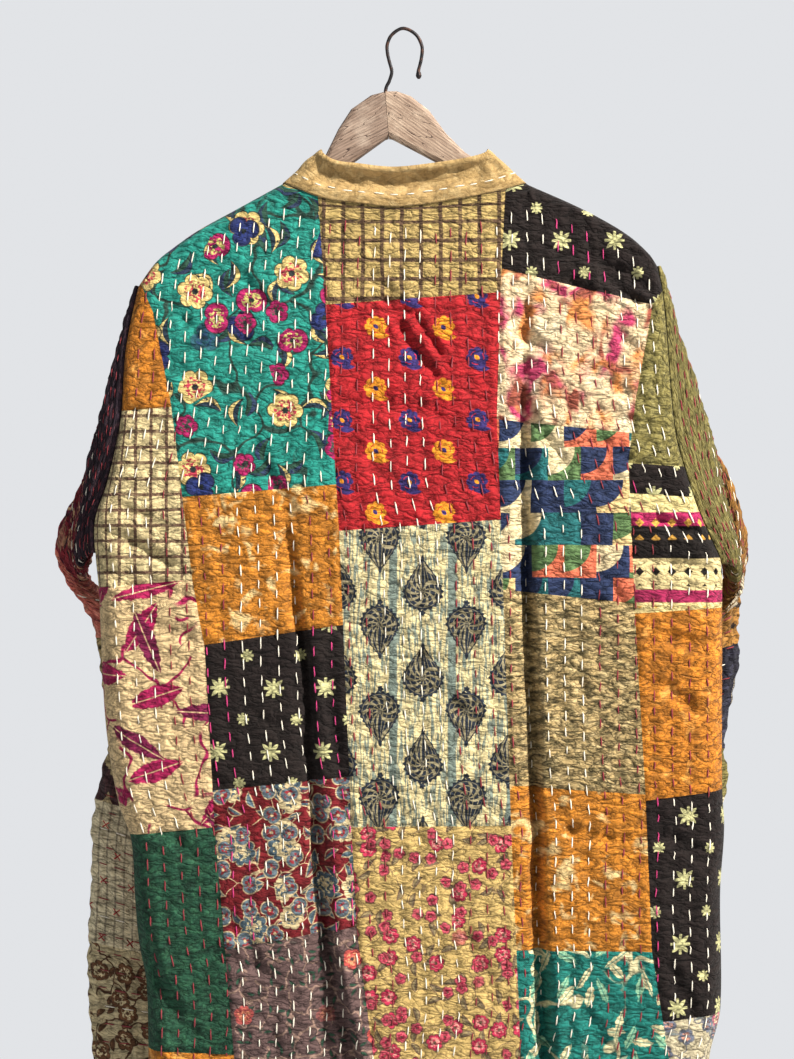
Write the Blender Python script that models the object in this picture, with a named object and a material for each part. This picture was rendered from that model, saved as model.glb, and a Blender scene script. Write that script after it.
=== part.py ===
# Patchwork jacket on a wooden hanger, hung up and seen from behind.
# Metres, +Z up. The back faces -Y and the wearer's left is at -X.
# The origin is under the crown of the hook, where a peg or rail carries the hanger.

import math
from collections import namedtuple

import bmesh
import bpy
from mathutils import Vector

CLOTH = 0.002  # two cotton layers, quilted
SEAM_GAP = 0.0003
QUILT_RISE = 0.0008  # height of a ridge between two lines of stitches
QUILT_MARGIN = 4  # rows of points that stay plain at a panel's top and a sleeve's head
QUILT_LEAST_PITCH = 0.015  # closer columns, as a share of the width, stay plain

UNDERARM_LEFT = -0.421
UNDERARM_RIGHT = -0.430
HEM = -0.904
CUFF = -0.846

NECK_CENTRE = 0.0012
NECK_HALF_WIDTH = 0.098
NECK_DEPTH_BACK = 0.014
NECK_DEPTH_FRONT = 0.018
NECK_DROP_FRONT = 0.078  # the front neckline hangs this far below the back one
NECK_SQUARENESS = 4.0
FRONT_OPENING_TOP = 0.004  # half of the gap between the two fronts
FRONT_OPENING_HEM = 0.009

ARMHOLE_DEPTH = 0.012  # half of the armhole's depth along Y
ARMHOLE_SQUARENESS = 2.2
SLEEVE_STANDS_OUT = 0.003  # straight out from the armhole, before the sleeve falls
SHOULDER_ROLL = 0.007  # the cloth turns over the hanger within this distance
NECK_ROLL = 0.020
SIDE_ROLL = 0.018

COLLAR_LEAN = 0.31  # share of its width that the collar loses up to its top edge
COLLAR_RISE_SIDE = 0.027
COLLAR_RISE_BACK = 0.032
COLLAR_RISE_FRONT = 0.036
COLLAR_SLUMP = 0.003  # the collapsed middle of the band
COLLAR_ROWS = 4

WOOD_HALF_THICKNESS = 0.006
WOOD_BEVEL = 0.0035
WOOD_BELOW_CLOTH = 0.004  # from the outside of the cloth to the wood's top edge
WIRE_RADIUS = 0.0014
BORE_CLEARANCE = 0.0003
BORE_DEPTH = 0.024

# Outline of the body, down each side from the shoulder's tip to the hem.
Edge = namedtuple("Edge", "height across")
LEFT_EDGE = (
    Edge(-0.206, -0.2125),
    Edge(-0.258, -0.2222),
    Edge(-0.314, -0.2262),
    Edge(-0.364, -0.2370),
    Edge(-0.394, -0.2470),
    Edge(-0.421, -0.2475),
    Edge(-0.450, -0.2448),
    Edge(-0.506, -0.2424),
    Edge(-0.566, -0.2384),
    Edge(-0.622, -0.2288),
    Edge(-0.650, -0.2190),
    Edge(-0.699, -0.2155),
    Edge(-0.733, -0.2125),
    Edge(-0.766, -0.2065),
    Edge(-0.826, -0.2048),
    Edge(-0.904, -0.2048),
)
RIGHT_EDGE = (
    Edge(-0.190, 0.2045),
    Edge(-0.218, 0.2090),
    Edge(-0.323, 0.2180),
    Edge(-0.362, 0.2285),
    Edge(-0.388, 0.2376),
    Edge(-0.413, 0.2488),
    Edge(-0.430, 0.2560),
    Edge(-0.464, 0.2568),
    Edge(-0.609, 0.2568),
    Edge(-0.642, 0.2584),
    Edge(-0.692, 0.2552),
    Edge(-0.787, 0.2552),
    Edge(-0.826, 0.2464),
    Edge(-0.904, 0.2440),
)

# Top edge of the body, across from one shoulder's tip to the other's.
Top = namedtuple("Top", "across height")
SHOULDER_LEFT = (
    Top(-0.2125, -0.2060),
    Top(-0.1984, -0.1870),
    Top(-0.1832, -0.1745),
    Top(-0.1648, -0.1616),
    Top(-0.1376, -0.1465),
    Top(-0.0968, -0.1240),
)
NECK_BACK = (
    Top(-0.0968, -0.1240),
    Top(-0.0648, -0.1368),
    Top(-0.0376, -0.1408),
    Top(-0.0032, -0.1440),
    Top(0.0448, -0.1376),
    Top(0.0790, -0.1304),
    Top(0.0992, -0.1240),
)
SHOULDER_RIGHT = (
    Top(0.0992, -0.1240),
    Top(0.1440, -0.1440),
    Top(0.1792, -0.1640),
    Top(0.1980, -0.1805),
    Top(0.2045, -0.1900),
)

# How far the outside of the cloth lies from the hanger's middle plane.
Depth = namedtuple("Depth", "height back front")
DEPTHS = (
    Depth(-0.124, 0.0098, 0.0098),
    Depth(-0.160, 0.0120, 0.0110),
    Depth(-0.206, 0.0145, 0.0115),
    Depth(-0.330, 0.0200, 0.0135),
    Depth(-0.430, 0.0240, 0.0145),
    Depth(-0.600, 0.0270, 0.0160),
    Depth(-0.904, 0.0300, 0.0180),
)

# The largest folds, each a trough that runs down the cloth.
Fold = namedtuple("Fold", "height across depth half_width")
BACK_FOLDS = {
    "right tuck": (
        Fold(-0.205, 0.101, 0.0000, 0.014),
        Fold(-0.300, 0.098, 0.0060, 0.015),
        Fold(-0.430, 0.099, 0.0100, 0.016),
        Fold(-0.586, 0.104, 0.0100, 0.015),
        Fold(-0.698, 0.108, 0.0100, 0.015),
        Fold(-0.904, 0.116, 0.0110, 0.017),
    ),
    "left tuck": (
        Fold(-0.350, -0.098, 0.0000, 0.014),
        Fold(-0.479, -0.082, 0.0040, 0.015),
        Fold(-0.602, -0.072, 0.0065, 0.016),
        Fold(-0.717, -0.066, 0.0090, 0.017),
        Fold(-0.904, -0.052, 0.0120, 0.019),
    ),
    "underarm drag": (
        Fold(-0.400, -0.238, 0.0000, 0.016),
        Fold(-0.437, -0.211, 0.0030, 0.020),
        Fold(-0.462, -0.160, 0.0020, 0.022),
        Fold(-0.476, -0.130, 0.0000, 0.022),
    ),
    "lower left drag": (
        Fold(-0.716, -0.220, 0.0000, 0.016),
        Fold(-0.760, -0.203, 0.0040, 0.018),
        Fold(-0.800, -0.175, 0.0035, 0.020),
        Fold(-0.850, -0.150, 0.0000, 0.020),
    ),
    "red patch drag": (
        Fold(-0.210, -0.018, 0.0000, 0.014),
        Fold(-0.254, 0.006, 0.0020, 0.016),
        Fold(-0.300, 0.034, 0.0000, 0.016),
    ),
}
FRONT_FOLDS = {
    "right fold": (
        Fold(-0.260, 0.120, 0.0000, 0.016),
        Fold(-0.500, 0.128, 0.0040, 0.018),
        Fold(-0.904, 0.140, 0.0055, 0.020),
    ),
    "left fold": (
        Fold(-0.300, -0.110, 0.0000, 0.016),
        Fold(-0.560, -0.104, 0.0040, 0.018),
        Fold(-0.904, -0.095, 0.0055, 0.020),
    ),
}

# Sections of each sleeve: each is a flat ring round the line from its outer to its under edge.
# Past the armhole the lines turn about the underarm, where the cloth bunches at the fold.
Section = namedtuple("Section", "outer under half_depth")
LEFT_SLEEVE = (
    Section((-0.2125, 0.000, -0.206), (-0.2475, 0.000, -0.421), 0.0120),
    Section((-0.2255, 0.002, -0.244), (-0.2550, 0.001, -0.424), 0.0095),
    Section((-0.2385, 0.006, -0.300), (-0.2600, 0.005, -0.429), 0.0080),
    Section((-0.2500, 0.016, -0.348), (-0.2605, 0.012, -0.434), 0.0085),
    Section((-0.2690, 0.024, -0.386), (-0.2600, 0.018, -0.439), 0.0095),
    Section((-0.2790, 0.029, -0.410), (-0.2575, 0.024, -0.445), 0.0105),
    Section((-0.2735, 0.033, -0.440), (-0.2480, 0.030, -0.452), 0.0110),
    Section((-0.2600, 0.034, -0.466), (-0.2250, 0.035, -0.473), 0.0105),
    Section((-0.2488, 0.035, -0.492), (-0.1960, 0.038, -0.508), 0.0100),
    Section((-0.2448, 0.036, -0.524), (-0.1680, 0.040, -0.552), 0.0095),
    Section((-0.2390, 0.037, -0.572), (-0.1460, 0.040, -0.606), 0.0095),
    Section((-0.2470, 0.037, -0.612), (-0.1350, 0.040, -0.648), 0.0095),
    Section((-0.2525, 0.037, -0.650), (-0.1290, 0.040, -0.690), 0.0095),
    Section((-0.2540, 0.037, -0.700), (-0.1250, 0.040, -0.735), 0.0095),
    Section((-0.2560, 0.037, -0.760), (-0.1240, 0.040, -0.786), 0.0095),
    Section((-0.2550, 0.037, -0.805), (-0.1240, 0.040, -0.818), 0.0095),
    Section((-0.2505, 0.037, CUFF), (-0.1240, 0.040, CUFF), 0.0095),
)
RIGHT_SLEEVE = (
    Section((0.2045, 0.000, -0.190), (0.2560, 0.000, -0.430), 0.0120),
    Section((0.2165, 0.002, -0.226), (0.2645, 0.001, -0.432), 0.0095),
    Section((0.2280, 0.006, -0.272), (0.2690, 0.005, -0.437), 0.0080),
    Section((0.2385, 0.015, -0.318), (0.2690, 0.012, -0.443), 0.0085),
    Section((0.2590, 0.022, -0.355), (0.2690, 0.017, -0.447), 0.0090),
    Section((0.2700, 0.026, -0.384), (0.2685, 0.021, -0.452), 0.0090),
    Section((0.2745, 0.029, -0.412), (0.2655, 0.025, -0.458), 0.0090),
    Section((0.2745, 0.032, -0.444), (0.2570, 0.029, -0.468), 0.0095),
    Section((0.2735, 0.033, -0.460), (0.2490, 0.031, -0.477), 0.0095),
    Section((0.2725, 0.034, -0.476), (0.2360, 0.033, -0.489), 0.0100),
    Section((0.2740, 0.034, -0.504), (0.2080, 0.037, -0.520), 0.0100),
    Section((0.2670, 0.035, -0.542), (0.1790, 0.040, -0.568), 0.0095),
    Section((0.2615, 0.036, -0.578), (0.1580, 0.040, -0.612), 0.0095),
    Section((0.2645, 0.037, -0.604), (0.1460, 0.040, -0.645), 0.0095),
    Section((0.2580, 0.037, -0.644), (0.1360, 0.040, -0.690), 0.0095),
    Section((0.2500, 0.037, -0.706), (0.1270, 0.040, -0.745), 0.0095),
    Section((0.2480, 0.037, -0.780), (0.1240, 0.040, -0.800), 0.0095),
    Section((0.2460, 0.037, CUFF), (0.1240, 0.040, CUFF), 0.0095),
)

# Rows of the body's grids: shares of the armhole's height, then of the side seam's.
ARMHOLE_ROWS = (0, 0.007, 0.024, 0.055, 0.14, 0.26, 0.38, 0.50, 0.62, 0.74, 0.86, 0.95, 1)
LOWER_ROWS = 12
ARMHOLE_SHARE = 0.30  # of the body's length
LEVELLING = 1.7  # how soon the rows below the neck become level

# Columns: close together at the edges, where the cloth turns.
SIDE_COLUMNS = (0, 0.0035, 0.011, 0.024)
NECK_COLUMNS = (0, 0.0125, 0.05)
BACK_SHOULDER_COLUMNS = 13
BACK_NECK_COLUMNS = 15
FRONT_SHOULDER_COLUMNS = 7
FRONT_NECK_COLUMNS = 6

# Upper outline of the wood between the collar's two sides, and the wood's height.
WOOD_TOP = (
    Top(-0.0930, -0.1275),
    Top(-0.0620, -0.1005),
    Top(-0.0520, -0.0800),
    Top(-0.0416, -0.0640),
    Top(-0.0256, -0.0528),
    Top(-0.0136, -0.0496),
    Top(-0.0048, -0.0496),
    Top(0.0064, -0.0536),
    Top(0.0208, -0.0648),
    Top(0.0344, -0.0832),
    Top(0.0496, -0.0985),
    Top(0.0950, -0.1275),
)
WOOD_UNDER_APEX = Top(-0.0115, -0.0864)
WOOD_UNDER_LEFT = Top(-0.0424, -0.1088)
WOOD_UNDER_RIGHT = Top(0.0296, -0.1080)
WOOD_HEIGHT_AT_NECK = 0.026
WOOD_HEIGHT_AT_TIP = 0.015
WOOD_TIP_LEFT = -0.193
WOOD_TIP_RIGHT = 0.188
WOOD_ARM_STEPS = 7
MITRE_TOP = Top(-0.0144, -0.0496)

# The hook's wire, from its end in the wood over the crown to the free end.
Wire = namedtuple("Wire", "across height swell")
HOOK_PATH = (
    Wire(-0.0145, -0.0700, 1.0),
    Wire(-0.0140, -0.0488, 1.0),
    Wire(-0.0110, -0.0410, 1.0),
    Wire(-0.0090, -0.0336, 1.0),
    Wire(-0.0108, -0.0260, 1.0),
    Wire(-0.0124, -0.0190, 1.0),
    Wire(-0.0126, -0.0115, 1.0),
    Wire(-0.0088, -0.0036, 1.0),
    Wire(0.0000, 0.0014, 1.0),
    Wire(0.0100, -0.0032, 1.0),
    Wire(0.0152, -0.0128, 1.0),
    Wire(0.0148, -0.0228, 1.0),
    Wire(0.0126, -0.0320, 1.0),
    Wire(0.0126, -0.0350, 1.5),
    Wire(0.0127, -0.0372, 1.6),
    Wire(0.0128, -0.0388, 0.9),
)
HOOK_STEPS = 3


def clear_scene():
    for item in list(bpy.data.objects):
        bpy.data.objects.remove(item, do_unlink=True)


def make_material(name, colour, roughness, metallic=0.0):
    material = bpy.data.materials.new(name)
    material.use_nodes = True
    shader = material.node_tree.nodes["Principled BSDF"]
    shader.inputs["Base Color"].default_value = (*colour, 1.0)
    shader.inputs["Roughness"].default_value = roughness
    shader.inputs["Metallic"].default_value = metallic
    material.diffuse_color = (*colour, 1.0)
    return material


# A smooth curve through the table's rows, held at its first and last value.
def through_rows(keys, values, at):
    if (at - keys[0]) * (keys[-1] - keys[0]) <= 0:
        return values[0]
    if abs(at - keys[0]) >= abs(keys[-1] - keys[0]):
        return values[-1]
    step = next(i for i in range(len(keys) - 1) if (at - keys[i + 1]) * (keys[-1] - keys[0]) < 0)
    before, after = max(step - 1, 0), min(step + 2, len(keys) - 1)
    span = keys[step + 1] - keys[step]
    slope_in = (values[step + 1] - values[before]) / (keys[step + 1] - keys[before]) * span
    slope_out = (values[after] - values[step]) / (keys[after] - keys[step]) * span
    share = (at - keys[step]) / span
    rise = values[step + 1] - values[step]
    return values[step] + share * (
        slope_in + share * (3 * rise - 2 * slope_in - slope_out + share * (slope_in + slope_out - 2 * rise))
    )


def across_at(edge, height):
    return through_rows([row.height for row in edge], [row.across for row in edge], height)


def height_at(tops, across):
    return through_rows([row.across for row in tops], [row.height for row in tops], across)


def depth_at(height, side):
    heights = [row.height for row in DEPTHS]
    return through_rows(heights, [getattr(row, side) for row in DEPTHS], height)


# A quarter turn: 0 at the edge, 1 from the radius onwards.
def rounded(distance, radius):
    return math.sqrt(1 - (1 - min(max(distance, 0) / radius, 1)) ** 2)


# Half depth of a flattened ring, as a share, where along is 0 in its middle and 1 at its ends.
def ring_share(along, squareness):
    return max(1 - min(abs(along), 1) ** squareness, 0) ** (1 / squareness)


def fold_depth(folds, across, height):
    total = 0
    for rows in folds.values():
        if not rows[-1].height <= height <= rows[0].height:
            continue
        heights = [row.height for row in rows]
        middle = through_rows(heights, [row.across for row in rows], height)
        depth = through_rows(heights, [row.depth for row in rows], height)
        half_width = through_rows(heights, [row.half_width for row in rows], height)
        away = abs(across - middle) / half_width
        if away < 1:
            total += depth * (1 - away * away) ** 2
    return total


# Levels run from 0 at the shoulder over 1 at the underarm to 2 at the hem.
def body_levels():
    return list(ARMHOLE_ROWS) + [1 + (i + 1) / LOWER_ROWS for i in range(LOWER_ROWS)]


def height_of_level(top, underarm, level):
    if level <= 1:
        return top + (underarm - top) * level
    return underarm + (HEM - underarm) * (level - 1)


def left_edge_at(level):
    height = height_of_level(LEFT_EDGE[0].height, UNDERARM_LEFT, level)
    return across_at(LEFT_EDGE, height), height


def right_edge_at(level):
    height = height_of_level(RIGHT_EDGE[0].height, UNDERARM_RIGHT, level)
    return across_at(RIGHT_EDGE, height), height


def front_edge_at(level, sign):
    top = -0.124 - NECK_DROP_FRONT
    share = length_share(level)
    half_gap = FRONT_OPENING_TOP + (FRONT_OPENING_HEM - FRONT_OPENING_TOP) * share
    return NECK_CENTRE + sign * half_gap, top + (HEM - top) * share


def length_share(level):
    if level <= 1:
        return ARMHOLE_SHARE * level
    return ARMHOLE_SHARE + (1 - ARMHOLE_SHARE) * (level - 1)


def neck_along(across):
    return (across - NECK_CENTRE) / NECK_HALF_WIDTH


def in_neck(across):
    return abs(neck_along(across)) < 1 - 1e-6


def shoulder_height(across):
    return height_at(SHOULDER_LEFT if across < NECK_CENTRE else SHOULDER_RIGHT, across)


def back_top(across):
    return height_at(NECK_BACK, across) if in_neck(across) else shoulder_height(across)


def front_top(across):
    if not in_neck(across):
        return shoulder_height(across)
    return SHOULDER_RIGHT[0].height - NECK_DROP_FRONT * (1 - neck_along(across) ** 2) ** 1.3


def rim_depth(across, neck_depth):
    return SEAM_GAP / 2 + neck_depth * ring_share(neck_along(across), NECK_SQUARENESS)


def armhole_depth(level):
    if level >= 1:
        return SEAM_GAP / 2
    return SEAM_GAP / 2 + ARMHOLE_DEPTH * ring_share(2 * level - 1, ARMHOLE_SQUARENESS)


# The outside of a body panel as rows of points, from its top edge to the hem.
def panel_grid(side, start_edge, end_edge, top, columns, open_start=False, open_end=False):
    sign = -1 if side == "back" else 1
    neck_depth = NECK_DEPTH_BACK if side == "back" else NECK_DEPTH_FRONT
    folds = BACK_FOLDS if side == "back" else FRONT_FOLDS
    first, last = start_edge(0), end_edge(0)
    grid = []
    for level in body_levels():
        start, end = start_edge(level), end_edge(level)
        levelling = (1 - length_share(level)) ** LEVELLING
        row = []
        for share in columns:
            across_top = first[0] + (last[0] - first[0]) * share
            top_height = top(across_top)
            hump = top_height - (first[1] + (last[1] - first[1]) * share)
            across = start[0] + (end[0] - start[0]) * share
            height = start[1] + (end[1] - start[1]) * share + hump * levelling
            in_roll = rounded(top_height - height, NECK_ROLL if in_neck(across_top) else SHOULDER_ROLL)
            from_start = SIDE_ROLL * 9 if open_start else abs(across - start[0])
            from_end = SIDE_ROLL * 9 if open_end else abs(end[0] - across)
            in_side = rounded(min(from_start, from_end), SIDE_ROLL)
            rim = rim_depth(across_top, neck_depth)
            depth = depth_at(height, side) - fold_depth(folds, across, height)
            depth = rim + (depth - rim) * in_roll
            seam = armhole_depth(level)
            depth = seam + (depth - seam) * in_side
            row.append(Vector((across, sign * depth, height)))
        grid.append(row)
    return grid


def spread(groups):
    columns = []
    for start, end, steps in groups:
        columns += [start + (end - start) * i / steps for i in range(steps)]
    return columns


def back_columns():
    width = RIGHT_EDGE[0].across - LEFT_EDGE[0].across
    neck_start = (SHOULDER_LEFT[-1].across - LEFT_EDGE[0].across) / width
    neck_end = (SHOULDER_RIGHT[0].across - LEFT_EDGE[0].across) / width
    neck_width = neck_end - neck_start
    near = [neck_start + neck_width * share for share in NECK_COLUMNS]
    far = [neck_end - neck_width * share for share in reversed(NECK_COLUMNS)]
    side = [1 - share for share in reversed(SIDE_COLUMNS)]
    return (
        list(SIDE_COLUMNS[:-1])
        + spread([(SIDE_COLUMNS[-1], neck_start, BACK_SHOULDER_COLUMNS)])
        + near[:-1]
        + spread([(near[-1], far[0], BACK_NECK_COLUMNS)])
        + far[:-1]
        + spread([(neck_end, side[0], BACK_SHOULDER_COLUMNS)])
        + side
    )


# Shares from the side seam, at 0, to the front edge, at 1.
def front_columns(shoulder_tip, neck_point, front_edge):
    neck_share = (neck_point - shoulder_tip) / (front_edge - shoulder_tip)
    near = [neck_share + (1 - neck_share) * 2 * share for share in NECK_COLUMNS]
    return (
        list(SIDE_COLUMNS[:-1])
        + spread([(SIDE_COLUMNS[-1], neck_share, FRONT_SHOULDER_COLUMNS)])
        + near[:-1]
        + spread([(near[-1], 1, FRONT_NECK_COLUMNS)])
        + [1]
    )


def outward(grid, r, c, closed):
    rows, columns = len(grid), len(grid[0])
    above, below = grid[max(r - 1, 0)][c], grid[min(r + 1, rows - 1)][c]
    if closed:
        before, after = grid[r][c - 1], grid[r][(c + 1) % columns]
    else:
        before, after = grid[r][max(c - 1, 0)], grid[r][min(c + 1, columns - 1)]
    return (after - before).cross(below - above).normalized()


# The normal with one direction taken out, so that a seam's end faces lie in its plane.
def without(normal, axis):
    flat = normal.copy()
    flat[axis] = 0
    return flat.normalized()


# Level and square to the neck's seam, and away from the neck's middle, for what meets there.
def neck_normal(before, after, point):
    along = after - before
    normal = Vector((along.y, -along.x, 0)).normalized()
    return normal if normal.dot(point - Vector((NECK_CENTRE, 0, point.z))) > 0 else -normal


def panel_normals(grid, side, columns, armhole_sides):
    sign = -1 if side == "back" else 1
    last_column = len(columns) - 1
    armhole_rows = len(ARMHOLE_ROWS) - 1
    normals = []
    for r, row in enumerate(grid):
        line = []
        for c, point in enumerate(row):
            normal = outward(grid, r, c, False)
            if normal.y * sign < 0:
                normal = -normal
            at_side = (c == 0 and "start" in armhole_sides) or (c == last_column and "end" in armhole_sides)
            if r == 0 and not in_neck(point.x):
                normal = Vector((0, 0, 1))
            elif r == 0:
                normal = neck_normal(row[max(c - 1, 0)], row[min(c + 1, last_column)], point)
            elif r == len(grid) - 1:
                normal = without(normal, 2)
            if at_side and r >= armhole_rows:
                normal = Vector((-1 if point.x < 0 else 1, 0, 0))
            elif at_side and r > 0:
                normal = without(normal, 0)
            line.append(normal)
        normals.append(line)
    return normals


def quilt_rise(columns, c):
    if c in (0, len(columns) - 1):
        return 0
    close = min(columns[c] - columns[c - 1], columns[c + 1] - columns[c])
    return QUILT_RISE if c % 2 and close > QUILT_LEAST_PITCH else 0


def cloth_object(name, outer, inner, material, closed=False):
    mesh = bmesh.new()
    rows, columns = len(outer), len(outer[0])
    outside = [[mesh.verts.new(point) for point in row] for row in outer]
    inside = [[mesh.verts.new(point) for point in row] for row in inner]
    around = columns if closed else columns - 1
    for r in range(rows - 1):
        for c in range(around):
            d = (c + 1) % columns
            mesh.faces.new((outside[r][c], outside[r][d], outside[r + 1][d], outside[r + 1][c]))
            mesh.faces.new((inside[r][c], inside[r + 1][c], inside[r + 1][d], inside[r][d]))
    for c in range(around):
        d = (c + 1) % columns
        mesh.faces.new((outside[0][d], outside[0][c], inside[0][c], inside[0][d]))
        mesh.faces.new((outside[-1][c], outside[-1][d], inside[-1][d], inside[-1][c]))
    if not closed:
        for r in range(rows - 1):
            mesh.faces.new((outside[r][0], outside[r + 1][0], inside[r + 1][0], inside[r][0]))
            mesh.faces.new((outside[r + 1][-1], outside[r][-1], inside[r][-1], inside[r + 1][-1]))
    return finish_object(name, mesh, material)


def finish_object(name, mesh, material, smooth=True):
    bmesh.ops.recalc_face_normals(mesh, faces=mesh.faces[:])
    data = bpy.data.meshes.new(name)
    mesh.to_mesh(data)
    mesh.free()
    data.materials.append(material)
    item = bpy.data.objects.new(name, data)
    bpy.context.collection.objects.link(item)
    if smooth:
        data.shade_smooth()
        data.set_sharp_from_angle(angle=math.radians(40))
    return item


def build_panel(name, side, grid, columns, armhole_sides, material):
    normals = panel_normals(grid, side, columns, armhole_sides)
    outer, inner = [], []
    for r, row in enumerate(grid):
        rises = [quilt_rise(columns, c) if r >= QUILT_MARGIN else 0 for c in range(len(columns))]
        outer.append([p + n * rise for p, n, rise in zip(row, normals[r], rises)])
        inner.append([p - n * CLOTH for p, n in zip(row, normals[r])])
    return cloth_object(name, outer, inner, material)


def build_body(material):
    columns = back_columns()
    grid = panel_grid("back", left_edge_at, right_edge_at, back_top, columns)
    build_panel("back", "back", grid, columns, ("start", "end"), material)
    for name, edge_at, tip, neck_point, sign in (
        ("front_left", left_edge_at, SHOULDER_LEFT[0], SHOULDER_LEFT[-1], -1),
        ("front_right", right_edge_at, SHOULDER_RIGHT[-1], SHOULDER_RIGHT[0], 1),
    ):
        columns = front_columns(tip.across, neck_point.across, NECK_CENTRE + sign * FRONT_OPENING_TOP)
        grid = panel_grid(
            "front", edge_at, lambda level: front_edge_at(level, sign), front_top, columns, open_end=True
        )
        build_panel(name, "front", grid, columns, ("start",), material)


# One ring of a sleeve: down its back from the outer edge, and up its front again.
# The way a ring's first half faces: across its line and across the sleeve's run.
def ring_facing(sections, i, sign):
    if i == 0:
        return Vector((0, -1, 0))
    section = sections[i]
    before, after = sections[i - 1], sections[min(i + 1, len(sections) - 1)]
    run = Vector(after.outer) + Vector(after.under) - Vector(before.outer) - Vector(before.under)
    facing = run.cross(Vector(section.under) - Vector(section.outer)) * -sign
    if i == len(sections) - 1:
        facing.z = 0
    if i < 3:
        facing = Vector((0, -1, 0)).lerp(facing.normalized(), i / 3)
    return facing.normalized()


def sleeve_ring(section, facing, edge, sign, curve_share):
    outer, under = Vector(section.outer), Vector(section.under)
    shares = list(ARMHOLE_ROWS) + [share for share in reversed(ARMHOLE_ROWS[1:-1])]
    ring = []
    for i, share in enumerate(shares):
        side = 1 if i < len(ARMHOLE_ROWS) else -1
        point = outer.lerp(under, share)
        point += facing * side * section.half_depth * ring_share(2 * share - 1, ARMHOLE_SQUARENESS)
        straight = edge[0] + (edge[1] - edge[0]) * share
        top, bottom = edge[2], edge[3]
        seam = across_at(LEFT_EDGE if sign < 0 else RIGHT_EDGE, top + (bottom - top) * share)
        point.x += (seam - straight) * curve_share + sign * SEAM_GAP
        ring.append(point)
    return ring


def build_sleeve(name, sections, sign, material):
    first = sections[0]
    edge = (first.outer[0], first.under[0], first.outer[2], first.under[2])
    curve_shares = (1.0, 0.6, 0.25)
    grid = []
    for i, section in enumerate(sections):
        curve_share = curve_shares[i] if i < len(curve_shares) else 0
        grid.append(sleeve_ring(section, ring_facing(sections, i, sign), edge, sign, curve_share))
    grid.insert(1, [point + Vector((sign * SLEEVE_STANDS_OUT, 0, 0)) for point in grid[0]])
    outer, inner = [], []
    for r, ring in enumerate(grid):
        outer_ring, inner_ring = [], []
        for c, point in enumerate(ring):
            normal = outward(grid, r, c, True) * sign
            if r == 0:
                normal = without(normal, 0)
            if r == len(grid) - 1:
                normal = without(normal, 2)
            ridge = QUILT_RISE if r % 2 and QUILT_MARGIN <= r < len(grid) - 1 else 0
            outer_ring.append(point + normal * ridge)
            inner_ring.append(point - normal * CLOTH)
        outer.append(outer_ring)
        inner.append(inner_ring)
    return cloth_object(name, outer, inner, material, closed=True)


# The band's seam, from the left front edge round the back of the neck to the right one.
def collar_seam():
    left_tip, right_tip = SHOULDER_LEFT[0].across, SHOULDER_RIGHT[-1].across

    def across_of(columns, start, end):
        return [start + (end - start) * share for share in columns]

    left_end, right_end = NECK_CENTRE - FRONT_OPENING_TOP, NECK_CENTRE + FRONT_OPENING_TOP
    left_across = across_of(front_columns(left_tip, SHOULDER_LEFT[-1].across, left_end), left_tip, left_end)
    right_across = across_of(front_columns(right_tip, SHOULDER_RIGHT[0].across, right_end), right_tip, right_end)
    back_across = across_of(back_columns(), left_tip, right_tip)
    seam = []
    for across in reversed([x for x in left_across if in_neck(x)]):
        seam.append(Vector((across, rim_depth(across, NECK_DEPTH_FRONT), front_top(across))))
    seam.append(Vector((SHOULDER_LEFT[-1].across, 0, SHOULDER_LEFT[-1].height)))
    for across in [x for x in back_across if in_neck(x)]:
        seam.append(Vector((across, -rim_depth(across, NECK_DEPTH_BACK), back_top(across))))
    seam.append(Vector((SHOULDER_RIGHT[0].across, 0, SHOULDER_RIGHT[0].height)))
    for across in [x for x in right_across if in_neck(x)]:
        seam.append(Vector((across, rim_depth(across, NECK_DEPTH_FRONT), front_top(across))))
    return seam


def build_collar(material):
    seam = collar_seam()
    grid = []
    for r in range(COLLAR_ROWS + 1):
        share = r / COLLAR_ROWS
        row = []
        for i, point in enumerate(seam):
            along = seam[min(i + 1, len(seam) - 1)] - seam[max(i - 1, 0)]
            lift = SEAM_GAP * (along.length / along.xy.length) ** 4
            sideways = abs(neck_along(point.x))
            middle_rise = COLLAR_RISE_BACK if point.y < 0 else COLLAR_RISE_FRONT
            rise = middle_rise + (COLLAR_RISE_SIDE - middle_rise) * min(sideways, 1) ** 2
            slump = COLLAR_SLUMP * math.sin(math.pi * share) * (1 - min(sideways, 1) ** 4)
            lean = 1 - COLLAR_LEAN * share * min(sideways, 1) ** 2
            across = NECK_CENTRE + (point.x - NECK_CENTRE) * lean
            depth = point.y - math.copysign(slump, point.y) * (abs(point.y) > 0.001)
            row.append(Vector((across, depth, point.z + lift + rise * share)))
        grid.append(row)
    outer, inner = [], []
    for r, row in enumerate(grid):
        outer_row, inner_row = [], []
        for c, point in enumerate(row):
            normal = neck_normal(row[max(c - 1, 0)], row[min(c + 1, len(row) - 1)], point)
            outer_row.append(point)
            inner_row.append(point - normal * CLOTH)
        outer.append(outer_row)
        inner.append(inner_row)
    return cloth_object("collar", outer, inner, material)


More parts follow.
